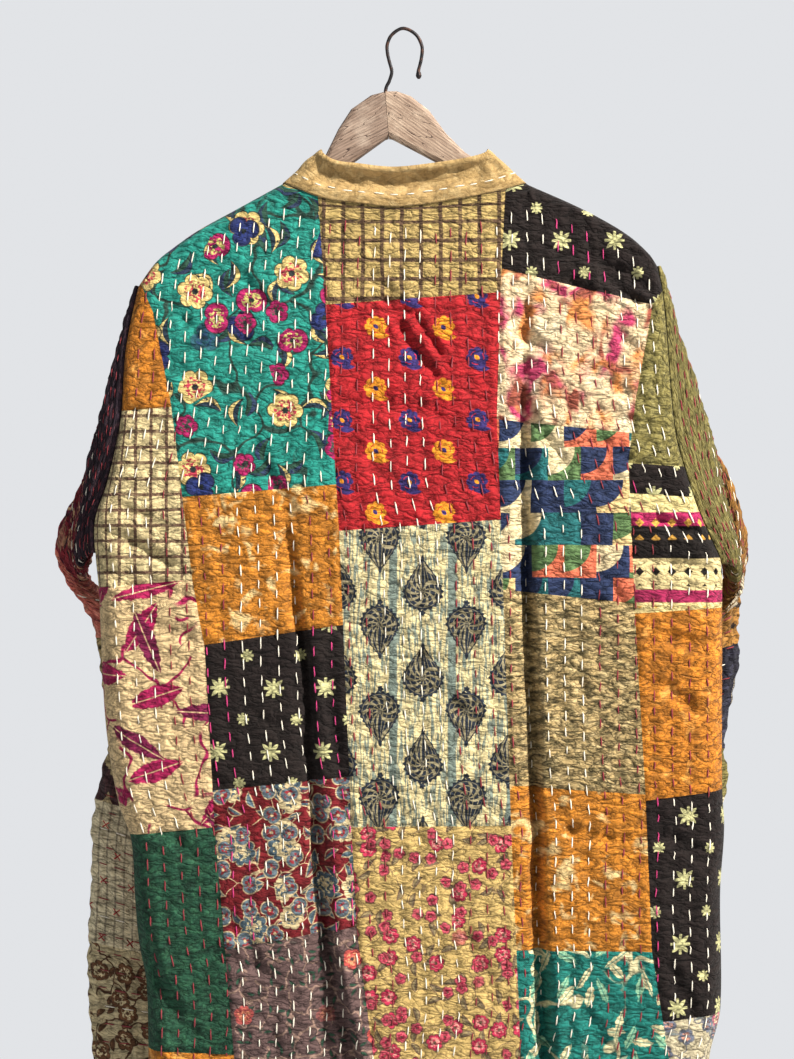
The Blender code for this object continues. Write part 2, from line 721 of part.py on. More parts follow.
# The whole hanger's outline, clockwise from its left tip.
def wood_outline():
    def arm_top(tip, neck):
        steps = [tip + (neck - tip) * i / WOOD_ARM_STEPS for i in range(WOOD_ARM_STEPS)]
        return [(x, shoulder_height(x) - WOOD_BELOW_CLOTH) for x in steps]

    def arm_under(tip, neck, inner):
        points = []
        for i in range(WOOD_ARM_STEPS):
            share = i / WOOD_ARM_STEPS
            across = tip + (neck - tip) * share
            height = WOOD_HEIGHT_AT_TIP + (WOOD_HEIGHT_AT_NECK - WOOD_HEIGHT_AT_TIP) * share
            points.append((across, shoulder_height(across) - WOOD_BELOW_CLOTH - height))
        return points + [(inner.across, inner.height)]

    left_neck, right_neck = WOOD_TOP[0].across, WOOD_TOP[-1].across
    top = arm_top(WOOD_TIP_LEFT, left_neck) + [(row.across, row.height) for row in WOOD_TOP]
    top += list(reversed(arm_top(WOOD_TIP_RIGHT, right_neck)))
    under = arm_under(WOOD_TIP_RIGHT, right_neck, WOOD_UNDER_RIGHT)
    under += [(WOOD_UNDER_APEX.across, WOOD_UNDER_APEX.height)]
    under += list(reversed(arm_under(WOOD_TIP_LEFT, left_neck, WOOD_UNDER_LEFT)))
    return top + under


def extrude_outline(name, outline, half_thickness, material):
    mesh = bmesh.new()
    near = [mesh.verts.new((x, -half_thickness, z)) for x, z in outline]
    face = mesh.faces.new(near)
    moved = bmesh.ops.extrude_face_region(mesh, geom=[face])["geom"]
    far = [item for item in moved if isinstance(item, bmesh.types.BMVert)]
    bmesh.ops.translate(mesh, verts=far, vec=(0, 2 * half_thickness, 0))
    return finish_object(name, mesh, material, smooth=False)


def hide_cutter(cutter):
    cutter.hide_render = True
    cutter.display_type = "WIRE"


def cut_away(item, cutter):
    cut = item.modifiers.new("Cut", "BOOLEAN")
    cut.operation = "DIFFERENCE"
    cut.object = cutter


# A block on one side of the mitre, half a seam's gap past it.
def mitre_cutter(name, sign, material):
    reach = 0.3
    lean = (WOOD_UNDER_APEX.across - MITRE_TOP.across) / (WOOD_UNDER_APEX.height - MITRE_TOP.height)
    near = []
    for height in (0.05, -0.4):
        near.append((MITRE_TOP.across + lean * (height - MITRE_TOP.height) - sign * SEAM_GAP / 2, height))
    outline = near + [(near[1][0] + sign * reach, -0.4), (near[0][0] + sign * reach, 0.05)]
    cutter = extrude_outline(name, outline, 0.05, material)
    hide_cutter(cutter)
    return cutter


def bore_cutter():
    low, high = HOOK_PATH[0], HOOK_PATH[1]
    top = Vector((high.across, 0, high.height + 0.004))
    bottom = Vector((low.across, 0, high.height - BORE_DEPTH))
    bpy.ops.mesh.primitive_cylinder_add(
        vertices=16, radius=WIRE_RADIUS + BORE_CLEARANCE, depth=(top - bottom).length, location=(top + bottom) / 2
    )
    cutter = bpy.context.object
    cutter.rotation_euler = (top - bottom).to_track_quat("Z", "Y").to_euler()
    hide_cutter(cutter)
    return cutter


def build_hanger(materials):
    bore = bore_cutter()
    for name, sign in (("hanger_left", 1), ("hanger_right", -1)):
        board = extrude_outline(name, wood_outline(), WOOD_HALF_THICKNESS, materials[name])
        bevel = board.modifiers.new("Bevel", "BEVEL")
        bevel.width = WOOD_BEVEL
        bevel.segments = 2
        bevel.limit_method = "ANGLE"
        bevel.angle_limit = math.radians(60)
        cut_away(board, mitre_cutter(f"mitre_{name}", sign, materials[name]))
        cut_away(board, bore)


def build_hook(material):
    keys = list(range(len(HOOK_PATH)))
    places = [Vector((row.across, 0, row.height)) for row in HOOK_PATH]
    swells = [row.swell for row in HOOK_PATH]
    curve = bpy.data.curves.new("hook", "CURVE")
    curve.dimensions = "3D"
    curve.bevel_depth = WIRE_RADIUS
    curve.bevel_resolution = 2
    curve.use_fill_caps = True
    steps = (len(HOOK_PATH) - 1) * HOOK_STEPS
    spline = curve.splines.new("POLY")
    spline.points.add(steps)
    for i in range(steps + 1):
        at = i / HOOK_STEPS
        spline.points[i].co = (*through_rows(keys, places, at), 1)
        spline.points[i].radius = through_rows(keys, swells, at)
    curve.materials.append(material)
    bpy.context.collection.objects.link(bpy.data.objects.new("hook", curve))


def main():
    clear_scene()
    patchwork = make_material("patchwork cotton", (0.42, 0.30, 0.20), 0.9)
    collar = make_material("collar cotton", (0.51, 0.35, 0.13), 0.9)
    woods = {
        "hanger_left": make_material("left board", (0.34, 0.21, 0.14), 0.75),
        "hanger_right": make_material("right board", (0.42, 0.28, 0.18), 0.75),
    }
    wire = make_material("dark wire", (0.04, 0.035, 0.03), 0.5, 0.8)
    build_body(patchwork)
    build_sleeve("sleeve_left", LEFT_SLEEVE, -1, patchwork)
    build_sleeve("sleeve_right", RIGHT_SLEEVE, 1, patchwork)
    build_collar(collar)
    build_hanger(woods)
    build_hook(wire)


main()
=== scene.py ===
# Patchwork jacket on its wooden hanger, seen from behind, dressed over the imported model.
# Metres, +Z up: the jacket's back faces -Y and the wearer's left is at -X.

import math

import bmesh
import bpy
import numpy as np
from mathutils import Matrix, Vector


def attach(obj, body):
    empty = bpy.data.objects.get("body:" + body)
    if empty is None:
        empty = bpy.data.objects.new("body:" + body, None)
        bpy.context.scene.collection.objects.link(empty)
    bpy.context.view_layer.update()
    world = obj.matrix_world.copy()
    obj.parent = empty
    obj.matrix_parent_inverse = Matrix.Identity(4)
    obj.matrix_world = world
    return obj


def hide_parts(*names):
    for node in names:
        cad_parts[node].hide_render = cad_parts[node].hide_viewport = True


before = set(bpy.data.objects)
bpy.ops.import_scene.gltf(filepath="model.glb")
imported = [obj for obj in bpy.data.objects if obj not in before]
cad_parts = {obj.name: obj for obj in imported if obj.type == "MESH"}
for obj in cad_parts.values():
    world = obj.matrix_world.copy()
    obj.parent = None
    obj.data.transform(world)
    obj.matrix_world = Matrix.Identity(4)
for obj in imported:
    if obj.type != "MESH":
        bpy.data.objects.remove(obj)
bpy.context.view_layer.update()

mm = 0.001
stitchRows = 35  # lines of running stitches across the back
wallThickness = 0.0016
seamGap = 0.0003

# The body's outline, its shoulders and neck, as the solids have them: heights and places in metres.
outline = {
    "leftHeights": (-.206, -.258, -.314, -.364, -.394, -.421, -.450, -.506,
                    -.566, -.622, -.650, -.699, -.733, -.766, -.826, -.904),
    "leftAcross": (-.2125, -.2222, -.2262, -.2370, -.2470, -.2475, -.2448, -.2424,
                   -.2384, -.2288, -.2190, -.2155, -.2125, -.2065, -.2048, -.2048),
    "rightHeights": (-.190, -.218, -.323, -.362, -.388, -.413, -.430, -.464,
                     -.609, -.642, -.692, -.787, -.826, -.904),
    "rightAcross": (.2045, .2090, .2180, .2285, .2376, .2488, .2560, .2568,
                    .2568, .2584, .2552, .2552, .2464, .2440),
    "shoulderLeft": ((-.2125, -.2060), (-.1984, -.1870), (-.1832, -.1745),
                     (-.1648, -.1616), (-.1376, -.1465), (-.0968, -.1240)),
    "shoulderRight": ((.0992, -.1240), (.1440, -.1440), (.1792, -.1640), (.1980, -.1805), (.2045, -.1900)),
    "neckBack": ((-.0968, -.1240), (-.0648, -.1368), (-.0376, -.1408), (-.0032, -.1440),
                 (.0448, -.1376), (.0790, -.1304), (.0992, -.1240)),
    "depthHeights": (-.124, -.160, -.206, -.330, -.430, -.600, -.904),
    "backDepths": (.0098, .0120, .0145, .0200, .0240, .0270, .0300),
    "frontDepths": (.0098, .0110, .0115, .0135, .0145, .0160, .0180),
    "hem": -.904,
    "underarmLeft": -.421,
    "underarmRight": -.430,
    "neckCentre": .0012,
    "neckHalfWidth": .098,
    "neckDrop": .078,
    "neckDepthBack": .014,
    "neckDepthFront": .018,
    "armholeDepth": .012,
    "armholeShare": .30,
}

# The large folds: rows of height, place across, depth and half width.
backFolds = (
    ((-.205, .101, 0, .014), (-.300, .098, .0060, .015), (-.430, .099, .0100, .016),
     (-.586, .104, .0100, .015), (-.698, .108, .0100, .015), (-.904, .116, .0110, .017)),
    ((-.350, -.098, 0, .014), (-.479, -.082, .0040, .015), (-.602, -.072, .0065, .016),
     (-.717, -.066, .0090, .017), (-.904, -.052, .0120, .019)),
    ((-.400, -.238, 0, .016), (-.437, -.211, .0030, .020), (-.462, -.160, .0020, .022),
     (-.476, -.130, 0, .022)),
    ((-.716, -.220, 0, .016), (-.760, -.203, .0040, .018), (-.800, -.175, .0035, .020),
     (-.850, -.150, 0, .020)),
    ((-.210, -.018, 0, .014), (-.254, .006, .0020, .016), (-.300, .034, 0, .016)),
)
frontFolds = (
    ((-.260, .120, 0, .016), (-.500, .128, .0040, .018), (-.904, .140, .0055, .020)),
    ((-.300, -.110, 0, .016), (-.560, -.104, .0040, .018), (-.904, -.095, .0055, .020)),
)

# Smaller creases, in millimetres: from across, down, to across, down, then depth and half width.
backCreases = (
    (98, 205, 95, 300, 2.2, 5), (95, 290, 97, 400, 4.2, 5),
    (98, 388, 101, 500, 5.2, 6), (101, 490, 104, 610, 5.2, 6),
    (104, 598, 108, 720, 5.0, 6), (108, 708, 116, 880, 5.2, 7),
    (-96, 372, -84, 470, 2.2, 5), (-84, 458, -74, 580, 3.8, 5),
    (-74, 568, -68, 700, 4.6, 6), (-68, 688, -52, 776, 5.2, 7), (-56, 764, -28, 880, 5.4, 8),
    (106, 280, 108, 420, -1.6, 8), (109, 400, 113, 620, -2.2, 9), (113, 600, 126, 880, -2.0, 9),
    (-74, 470, -64, 620, -1.5, 8), (-62, 610, -44, 770, -2.0, 9), (-44, 760, -18, 880, -2.0, 9),
    (-22, 214, 16, 236, 1.8, 6), (14, 232, 34, 272, 2.0, 5),
    (-238, 300, -196, 318, 1.6, 8), (150, 186, 210, 214, 2.2, 8),
    (-150, 250, -60, 262, 1.3, 9), (-60, 300, 40, 306, 1.2, 9),
    (120, 300, 190, 318, 1.5, 9), (-170, 600, -110, 612, 1.4, 9),
    (-20, 500, 60, 508, 1.1, 9), (120, 640, 190, 652, 1.5, 9),
    (-60, 660, 60, 668, 1.1, 9), (-160, 740, -96, 756, 1.5, 9),
    (-148, 182, -96, 236, 1.6, 7), (-196, 214, -150, 260, 1.3, 6), (-205, 262, -132, 292, 1.2, 8),
    (-238, 402, -176, 436, 2.6, 9), (-246, 424, -196, 462, 2.2, 8), (-232, 380, -190, 398, 1.6, 7),
    (-214, 470, -150, 500, 1.2, 9), (-120, 330, -84, 396, 1.8, 8), (-96, 420, -74, 520, 2.0, 8),
    (-58, 520, -44, 640, 1.8, 9), (-130, 540, -92, 560, 1.1, 8), (-30, 196, 10, 226, 1.3, 7),
    (-14, 218, 30, 290, 2.2, 6), (2, 300, 52, 326, 1.3, 7), (-40, 330, -6, 372, 1.2, 8),
    (84, 236, 118, 262, 2.6, 7), (92, 300, 130, 352, 1.8, 8), (116, 196, 160, 214, 1.4, 6),
    (162, 200, 200, 226, 3.0, 7), (168, 240, 196, 262, 1.8, 6), (140, 268, 190, 300, 1.4, 8),
    (190, 388, 244, 408, 2.2, 8), (186, 424, 250, 436, 1.8, 8), (196, 486, 252, 498, 2.2, 9),
    (190, 520, 246, 548, 1.9, 9), (150, 420, 182, 470, 1.2, 8), (128, 470, 150, 560, 1.4, 9),
    (118, 600, 152, 690, 1.5, 9), (-24, 430, 14, 470, 1.0, 8), (20, 520, 64, 560, 1.2, 9),
    (-20, 600, 26, 664, 1.2, 9), (36, 690, 74, 780, 1.5, 10), (-216, 716, -180, 782, 2.2, 9),
    (-196, 640, -158, 668, 1.3, 8), (-150, 700, -104, 760, 1.4, 9), (-110, 790, -80, 860, 1.5, 9),
    (196, 640, 246, 668, 1.6, 9), (206, 742, 240, 800, 1.6, 9), (130, 760, 168, 830, 1.3, 9),
    (-10, 780, 30, 850, 1.2, 10), (-178, 820, -140, 872, 1.4, 9), (150, 330, 196, 350, 1.3, 8),
)
frontCreases = (
    (-200, 222, -150, 262, 1.6, 7), (-232, 396, -170, 430, 2.2, 9), (-120, 250, -80, 320, 1.4, 8),
    (-96, 360, -60, 470, 1.7, 9), (-190, 480, -130, 520, 1.3, 9), (-60, 520, -30, 600, 1.3, 9),
    (-170, 600, -110, 640, 1.2, 9), (-200, 700, -160, 760, 1.6, 9), (-90, 700, -50, 790, 1.5, 9),
    (-30, 300, -12, 420, 1.2, 8), (150, 212, 196, 252, 1.6, 7), (180, 392, 246, 424, 2.2, 9),
    (90, 240, 124, 310, 1.4, 8), (60, 360, 92, 450, 1.5, 9), (140, 470, 200, 510, 1.3, 9),
    (30, 520, 56, 610, 1.3, 9), (110, 600, 170, 650, 1.3, 9), (180, 690, 230, 750, 1.6, 9),
    (50, 700, 80, 800, 1.5, 9), (16, 300, 30, 400, 1.2, 8), (-140, 800, -90, 860, 1.3, 9),
    (90, 800, 140, 868, 1.3, 9),
)


# A smooth curve through the table's rows, held at both ends.
def throughRows(keys, values, at):
    keys = np.asarray(keys, dtype=float)
    values = np.asarray(values, dtype=float)
    if keys[0] > keys[-1]:
        keys, values = keys[::-1], values[::-1]
    at = np.clip(at, keys[0], keys[-1])
    step = np.clip(np.searchsorted(keys, at, side="right") - 1, 0, len(keys) - 2)
    before = np.maximum(step - 1, 0)
    after = np.minimum(step + 2, len(keys) - 1)
    span = keys[step + 1] - keys[step]
    slopeIn = (values[step + 1] - values[before]) / (keys[step + 1] - keys[before]) * span
    slopeOut = (values[after] - values[step]) / (keys[after] - keys[step]) * span
    share = (at - keys[step]) / span
    rise = values[step + 1] - values[step]
    bend = 3 * rise - 2 * slopeIn - slopeOut + share * (slopeIn + slopeOut - 2 * rise)
    return values[step] + share * (slopeIn + share * bend)


# A quarter turn: 0 at the edge, 1 from the radius onwards.
def rounded(distance, radius):
    return np.sqrt(1 - (1 - np.clip(distance / radius, 0, 1)) ** 2)


def ringShare(along, squareness):
    return np.maximum(1 - np.minimum(np.abs(along), 1) ** squareness, 0) ** (1 / squareness)


# Smooth random hills between 0 and 1; the places are in millimetres.
def softNoise(across, down, size, seed):
    table = np.random.RandomState(seed).rand(64, 64)
    u = np.asarray(across) / size + 1000.0
    v = np.asarray(down) / size + 1000.0
    i = np.floor(u).astype(int)
    j = np.floor(v).astype(int)
    fu, fv = u - i, v - j
    fu = fu * fu * (3 - 2 * fu)
    fv = fv * fv * (3 - 2 * fv)
    low = table[i % 64, j % 64] * (1 - fu) + table[(i + 1) % 64, j % 64] * fu
    high = table[i % 64, (j + 1) % 64] * (1 - fu) + table[(i + 1) % 64, (j + 1) % 64] * fu
    return low * (1 - fv) + high * fv


def segmentDistance(across, down, start, end):
    alongX, alongZ = end[0] - start[0], end[1] - start[1]
    share = ((across - start[0]) * alongX + (down - start[1]) * alongZ) / (alongX ** 2 + alongZ ** 2)
    held = np.clip(share, 0, 1)
    return np.hypot(across - start[0] - alongX * held, down - start[1] - alongZ * held), held


def creaseDepth(creases, across, down):
    total = np.zeros_like(across)
    wobble = 5 * (softNoise(across, down, 26, 5) - .5)
    for ax, az, bx, bz, depth, halfWidth in creases:
        distance, held = segmentDistance(across + wobble, down - wobble, (ax, az), (bx, bz))
        taper = np.sin(math.pi * np.clip(held, .06, .94)) ** .6
        inside = np.clip(1 - (distance / halfWidth) ** 2, 0, 1) ** 2
        beside = np.exp(-((distance - halfWidth * 1.25) / (halfWidth * .45)) ** 2)
        total += depth * taper * (inside - .28 * beside)
    return total


def foldDepth(folds, across, height):
    total = np.zeros_like(across)
    for rows in folds:
        heights = [row[0] for row in rows]
        middle, depth, halfWidth = (throughRows(heights, [row[k] for row in rows], height) for k in (1, 2, 3))
        away = np.abs(across - middle) / halfWidth
        inRange = (height <= heights[0]) & (height >= heights[-1])
        total += np.where(inRange, depth * np.clip(1 - away * away, 0, 1) ** 2, 0)
    return total


def lengthShare(level):
    share = outline["armholeShare"]
    return np.where(level <= 1, share * level, share + (1 - share) * (level - 1))


def sideEdge(level, side):
    heights, across = outline[side + "Heights"], outline[side + "Across"]
    underarm = outline["underarm" + side.capitalize()]
    upper = heights[0] + (underarm - heights[0]) * level
    lower = underarm + (outline["hem"] - underarm) * (level - 1)
    height = np.where(level <= 1, upper, lower)
    return throughRows(heights, across, height), height


def frontEdge(level, sign):
    top = -.124 - outline["neckDrop"]
    share = lengthShare(level)
    return outline["neckCentre"] + sign * (.004 + .005 * share), top + (outline["hem"] - top) * share


def neckAlong(across):
    return (across - outline["neckCentre"]) / outline["neckHalfWidth"]


def topHeight(across, side):
    left, right = outline["shoulderLeft"], outline["shoulderRight"]
    fromLeft = throughRows([p[0] for p in left], [p[1] for p in left], across)
    fromRight = throughRows([p[0] for p in right], [p[1] for p in right], across)
    shoulder = np.where(across < outline["neckCentre"], fromLeft, fromRight)
    if side == "back":
        neck = outline["neckBack"]
        inNeck = throughRows([p[0] for p in neck], [p[1] for p in neck], across)
    else:
        inNeck = -.124 - outline["neckDrop"] * np.maximum(1 - neckAlong(across) ** 2, 0) ** 1.3
    return np.where(np.abs(neckAlong(across)) < 1 - 1e-6, inNeck, shoulder)


def rimDepth(across, neckDepth):
    return seamGap / 2 + neckDepth * ringShare(neckAlong(across), 4.0)


def armholeDepth(level):
    ring = outline["armholeDepth"] * ringShare(2 * np.minimum(level, 1) - 1, 2.2)
    return seamGap / 2 + np.where(level >= 1, 0, ring)


# Where a panel's point lies across and down, before the cloth is given its depth.
def panelPlace(panel, share, level):
    ends = {"back": ("left", "right"), "frontLeft": ("left", -1), "frontRight": ("right", 1)}[panel]
    side = "back" if panel == "back" else "front"

    def edgeAt(end, levels):
        return sideEdge(levels, end) if isinstance(end, str) else frontEdge(levels, end)

    zero = np.zeros(1)
    (firstX, firstZ), (lastX, lastZ) = edgeAt(ends[0], zero), edgeAt(ends[1], zero)
    (startX, startZ), (endX, endZ) = edgeAt(ends[0], level), edgeAt(ends[1], level)
    acrossTop = firstX[0] + (lastX[0] - firstX[0]) * share
    top = topHeight(acrossTop, side)
    hump = top - (firstZ[0] + (lastZ[0] - firstZ[0]) * share)
    across = startX + (endX - startX) * share
    height = startZ + (endZ - startZ) * share + hump * (1 - lengthShare(level)) ** 1.7
    return across, height, acrossTop, top


# Puckers between the stitch lines, crinkles, creases and sunk seams, in millimetres.
def relief(panel, across, down, rowCoord, seams):
    seed = {"back": 11, "frontLeft": 23, "frontRight": 37}.get(panel, 51)
    rowIndex = np.floor(rowCoord).astype(int)
    rowTable = np.random.RandomState(seed).rand(256)
    phase = rowTable[rowIndex % 256]
    between = np.sin(math.pi * rowCoord) ** 2
    wander = softNoise(across, down, 34, seed + 1)
    strength = .45 + .9 * softNoise(across, down, 52, seed + 2)
    waveLength = 8.2 + 2.2 * rowTable[(rowIndex * 7) % 256]
    ripple = np.sin(2 * math.pi * (down / waveLength + phase + 1.6 * wander))
    fine = np.sin(2 * math.pi * (down / 4.1 + 2 * wander + phase * 3)) * softNoise(across, down, 12, seed + 3)
    total = between * (.85 + .80 * ripple * strength + .30 * fine)
    total += .45 * ripple * strength * (1 - between)
    total += 2.6 * (softNoise(across, down * .8, 34, seed + 4) - .5)
    total += 1.7 * (softNoise(across * 1.3, down, 14, seed + 6) - .5)
    creases = backCreases if panel == "back" else frontCreases
    total -= 1.8 * creaseDepth(creases, across, down)
    if seams:
        nearest = np.full_like(across, 99.0)
        for start, end in seams:
            nearest = np.minimum(nearest, segmentDistance(across, down, start, end)[0])
        total -= 1.1 * np.exp(-(nearest / 1.6) ** 2)
        total += .45 * np.exp(-((nearest - 3.6) / 1.9) ** 2)
    return total


# The outside of the cloth at any place on a panel, and its coordinates for the prints.
def panelSurface(panel, share, level, place=None, seams=()):
    side = "back" if panel == "back" else "front"
    sign = -1 if panel == "back" else 1
    across, height, acrossTop, top = panelPlace(panel, share, level)
    if place is not None:
        across, height = place
    inNeck = np.abs(neckAlong(acrossTop)) < 1 - 1e-6
    inRoll = rounded(top - height, np.where(inNeck, .020, .007))
    left, right = sideEdge(level, "left")[0], sideEdge(level, "right")[0]
    fromLeft = np.abs(across - left) if panel != "frontRight" else np.full_like(across, 1.0)
    fromRight = np.abs(right - across) if panel != "frontLeft" else np.full_like(across, 1.0)
    inSide = rounded(np.minimum(fromLeft, fromRight), .018)
    rim = rimDepth(acrossTop, outline["neckDepthBack" if side == "back" else "neckDepthFront"])
    depths = throughRows(outline["depthHeights"], outline[side + "Depths"], height)
    depth = depths - foldDepth(backFolds if side == "back" else frontFolds, across, height)
    depth = rim + (depth - rim) * inRoll
    seam = armholeDepth(level)
    depth = seam + (depth - seam) * inSide
    rowCoord = share * (stitchRows if panel == "back" else stitchRows / 2)
    bumps = relief(panel, across * 1000, -height * 1000, rowCoord, seams)
    depth = np.maximum(depth + bumps * mm * np.clip(inRoll * inSide, 0, 1) ** 1.5, .0002)
    outerSide = np.where(fromLeft < fromRight, -1.0, 1.0)
    printX = across * 1000 + outerSide * (1 - inSide) * depths * 700
    printZ = -height * 1000 - (1 - inRoll) * depths * 800
    points = np.stack([across, sign * depth, height], axis=-1)
    return points, np.stack([printX, printZ, rowCoord], axis=-1)


# Patch seams of the back: four long seams down it, and the cross seams of each column between them.
# All are millimetres across and down.
longSeams = (
    ((-217, 180), (-216, 194), (-210, 205), (-200, 228), (-185, 304), (-168, 442), (-158, 497),
     (-150, 639), (-134, 826), (-127, 914)),
    ((-70, 118), (-68, 137), (-62, 222), (-51, 403), (-41, 639), (-37, 718), (-23, 826), (-15, 914)),
    ((87, 118), (82, 131), (78, 212), (75, 313), (78, 394), (86, 638), (94, 826), (98, 914)),
    ((210, 170), (210, 208), (200, 222), (186, 298), (180, 349), (185, 469), (193, 613),
     (198, 738), (212, 826), (218, 914)),
)
crossSeams = (
    ((309, 304), (449, 442), (649, 639), (815, 820)),
    ((376, 366), (494, 478), (610, 599), (736, 718)),
    ((222, 212), (403, 394), (639, 638)),
    ((193, 222), (314, 325), (450, 461), (606, 613), (737, 738)),
    ((349, 354), (373, 378), (469, 464), (618, 609), (794, 787)),
)
backPrints = (
    ("orangePlain", "oliveCheck", "burlapLeaves", "darkGreen", "orangePlain"),
    ("tealChintz", "orangeSpots", "blackStars", "redChintz", "mauveSpeckle"),
    ("khakiCheck", "redRosettes", "creamPaisley", "roseBeige"),
    ("blackStars", "softBlots", "colourBlocks", "khakiMottled", "orangeSpots", "tealFoliage"),
    ("oliveMottled", "blackStars", "broadBands", "orangePlain", "blackStars", "greyFloral"),
)
# The fronts are hidden in the photo: their own layout of the same prints, in rows down each.
frontSeams = {
    "frontLeft": {
        "longSeams": (((-108, 118), (-112, 300), (-118, 600), (-112, 914)),),
        "crossSeams": (((290, 300), (430, 424), (580, 590), (742, 730)),
                       ((236, 262), (372, 380), (520, 508), (660, 676), (800, 792))),
        "prints": (("redChintz", "khakiMottled", "tealFoliage", "orangeSpots", "burlapLeaves"),
                   ("creamPaisley", "darkGreen", "redRosettes", "khakiCheck", "blackStars", "tealChintz")),
    },
    "frontRight": {
        "longSeams": (((112, 118), (118, 300), (122, 600), (128, 914)),),
        "crossSeams": (((252, 236), (366, 380), (500, 512), (640, 630), (770, 784)),
                       ((300, 288), (440, 452), (590, 584), (752, 760))),
        "prints": (("oliveCheck", "tealChintz", "roseBeige", "blackStars", "orangePlain", "greyFloral"),
                   ("mauveSpeckle", "orangeSpots", "redChintz", "oliveMottled", "creamPaisley")),
    },
}


def seamAcross(seam, down):
    return np.interp(down, [point[1] for point in seam], [point[0] for point in seam])


def crossHeight(rows, columns, k, n, across):
    start, end = rows[k][n]
    left = columns[k - 1] if k > 0 else None
    right = columns[k] if k < len(columns) else None
    leftX = seamAcross(left, start) if left else (-250 if len(columns) > 1 or columns[0][0][0] < 0 else 5)
    rightX = seamAcross(right, end) if right else (262 if len(columns) > 1 or columns[0][0][0] > 0 else -5)
    return start + (end - start) * np.clip((across - leftX) / (rightX - leftX), 0, 1), leftX, rightX


def seamStretches(columns, rows):
    stretches = []
    for seam in columns:
        stretches += list(zip(seam[:-1], seam[1:]))
    for k in range(len(rows)):
        for n in range(len(rows[k])):
            start, end = rows[k][n]
            _, leftX, rightX = crossHeight(rows, columns, k, n, 0.0)
            stretches.append(((leftX, start), (rightX, end)))
    return stretches


def printAt(columns, rows, across, down):
    column = np.zeros(len(across), dtype=int)
    for seam in columns:
        column += across > seamAcross(seam, down)
    order = np.zeros(len(across), dtype=int)
    for k in range(len(rows)):
        for n in range(len(rows[k])):
            order += (column == k) & (down > crossHeight(rows, columns, k, n, across)[0])
    return column, order


def meshFrom(name, points, faces, prints, materials, faceMaterials):
    mesh = bpy.data.meshes.new(name)
    mesh.from_pydata([tuple(point) for point in points], [], faces)
    mesh.attributes.new("clothMm", "FLOAT_VECTOR", "POINT")
    mesh.attributes["clothMm"].data.foreach_set("vector", np.asarray(prints, dtype=np.float32).ravel())
    for material in materials:
        mesh.materials.append(material)
    mesh.polygons.foreach_set("material_index", np.asarray(faceMaterials, dtype=np.int32))
    mesh.polygons.foreach_set("use_smooth", np.ones(len(mesh.polygons), dtype=bool))
    mesh.update()
    item = bpy.data.objects.new(name, mesh)
    bpy.context.collection.objects.link(item)
    return item


def addWall(item, thickness=wallThickness):
    wall = item.modifiers.new("wall", "SOLIDIFY")
    wall.thickness = thickness
    wall.offset = -1
    wall.use_even_offset = False
    lining = len(item.data.materials) - 1
    wall.material_offset = lining + 1
    wall.material_offset_rim = 0
    return item


# A panel is laid flat as a grid, cut along every patch seam, then given its depth.
def buildPanel(name, panel, columns, rows, layout, longs, crosses):
    if panel == "back":
        edges = (0, .0012, .004, .0085, .014)
        lastEdges = [1 - edge for edge in reversed(edges)]
        shares = np.array(list(edges) + list(np.linspace(.02, .98, columns)) + lastEdges)
    else:
        shares = np.array([0, .0025, .008, .017, .028] + list(np.linspace(.04, 1, columns)))
    lengths = np.array([0, .0006, .0019, .0040, .0066, .0100] + list(np.linspace(.0135, 1, rows)))
    armShare = outline["armholeShare"]
    levels = np.where(lengths < armShare, lengths / armShare, 1 + (lengths - armShare) / (1 - armShare))
    shareGrid, levelGrid = np.meshgrid(shares, levels)
    across, height, _, _ = panelPlace(panel, shareGrid.ravel(), levelGrid.ravel())

    flat = bmesh.new()
    shareLayer = flat.verts.layers.float.new("share")
    levelLayer = flat.verts.layers.float.new("level")
    verts = []
    for x, z, share, level in zip(across, height, shareGrid.ravel(), levelGrid.ravel()):
        vert = flat.verts.new((x, 0, z))
        vert[shareLayer], vert[levelLayer] = share, level
        verts.append(vert)
    wide = len(shares)
    flip = panel == "frontLeft"
    for r in range(len(levels) - 1):
        for c in range(wide - 1):
            corner = r * wide + c
            ring = [verts[corner], verts[corner + wide], verts[corner + wide + 1], verts[corner + 1]]
            flat.faces.new(ring[::-1] if flip else ring)
    seams = seamStretches(longs, crosses)
    for start, end in seams:
        alongX, alongZ = (end[0] - start[0]) * mm, -(end[1] - start[1]) * mm
        length = math.hypot(alongX, alongZ)
        normal = Vector((alongZ, 0, -alongX)) / length
        origin = Vector((start[0] * mm, 0, -start[1] * mm))
        direction = Vector((alongX, 0, alongZ)) / length
        near = []
        for face in flat.faces:
            offset = face.verts[0].co - origin
            if abs(offset.dot(normal)) < .007 and -.0025 < offset.dot(direction) < length + .0025:
                near.append(face)
        if near:
            parts = set(near)
            for face in near:
                parts.update(face.edges)
                parts.update(face.verts)
            bmesh.ops.bisect_plane(flat, geom=list(parts), dist=2e-5, plane_co=origin, plane_no=normal)
    flat.verts.index_update()
    share = np.array([vert[shareLayer] for vert in flat.verts])
    level = np.array([vert[levelLayer] for vert in flat.verts])
    place = np.array([(vert.co.x, vert.co.z) for vert in flat.verts])
    faces = [[vert.index for vert in face.verts] for face in flat.faces]
    middles = np.array([tuple(face.calc_center_median()) for face in flat.faces])
    flat.free()
    points, prints = panelSurface(panel, share, level, (place[:, 0], place[:, 1]), seams)
    column, order = printAt(longs, crosses, middles[:, 0] * 1000, -middles[:, 2] * 1000)
    names = sorted({item for column in layout for item in column})
    faceMaterials = [names.index(layout[k][n]) for k, n in zip(column, order)]
    materials = [printMaterials[item] for item in names] + [printMaterials["plainLining"]]
    item = addWall(meshFrom(name, points, faces, prints, materials, faceMaterials))
    print(name, "points", len(points), "patches", sum(len(column) for column in layout))
    return item, seams


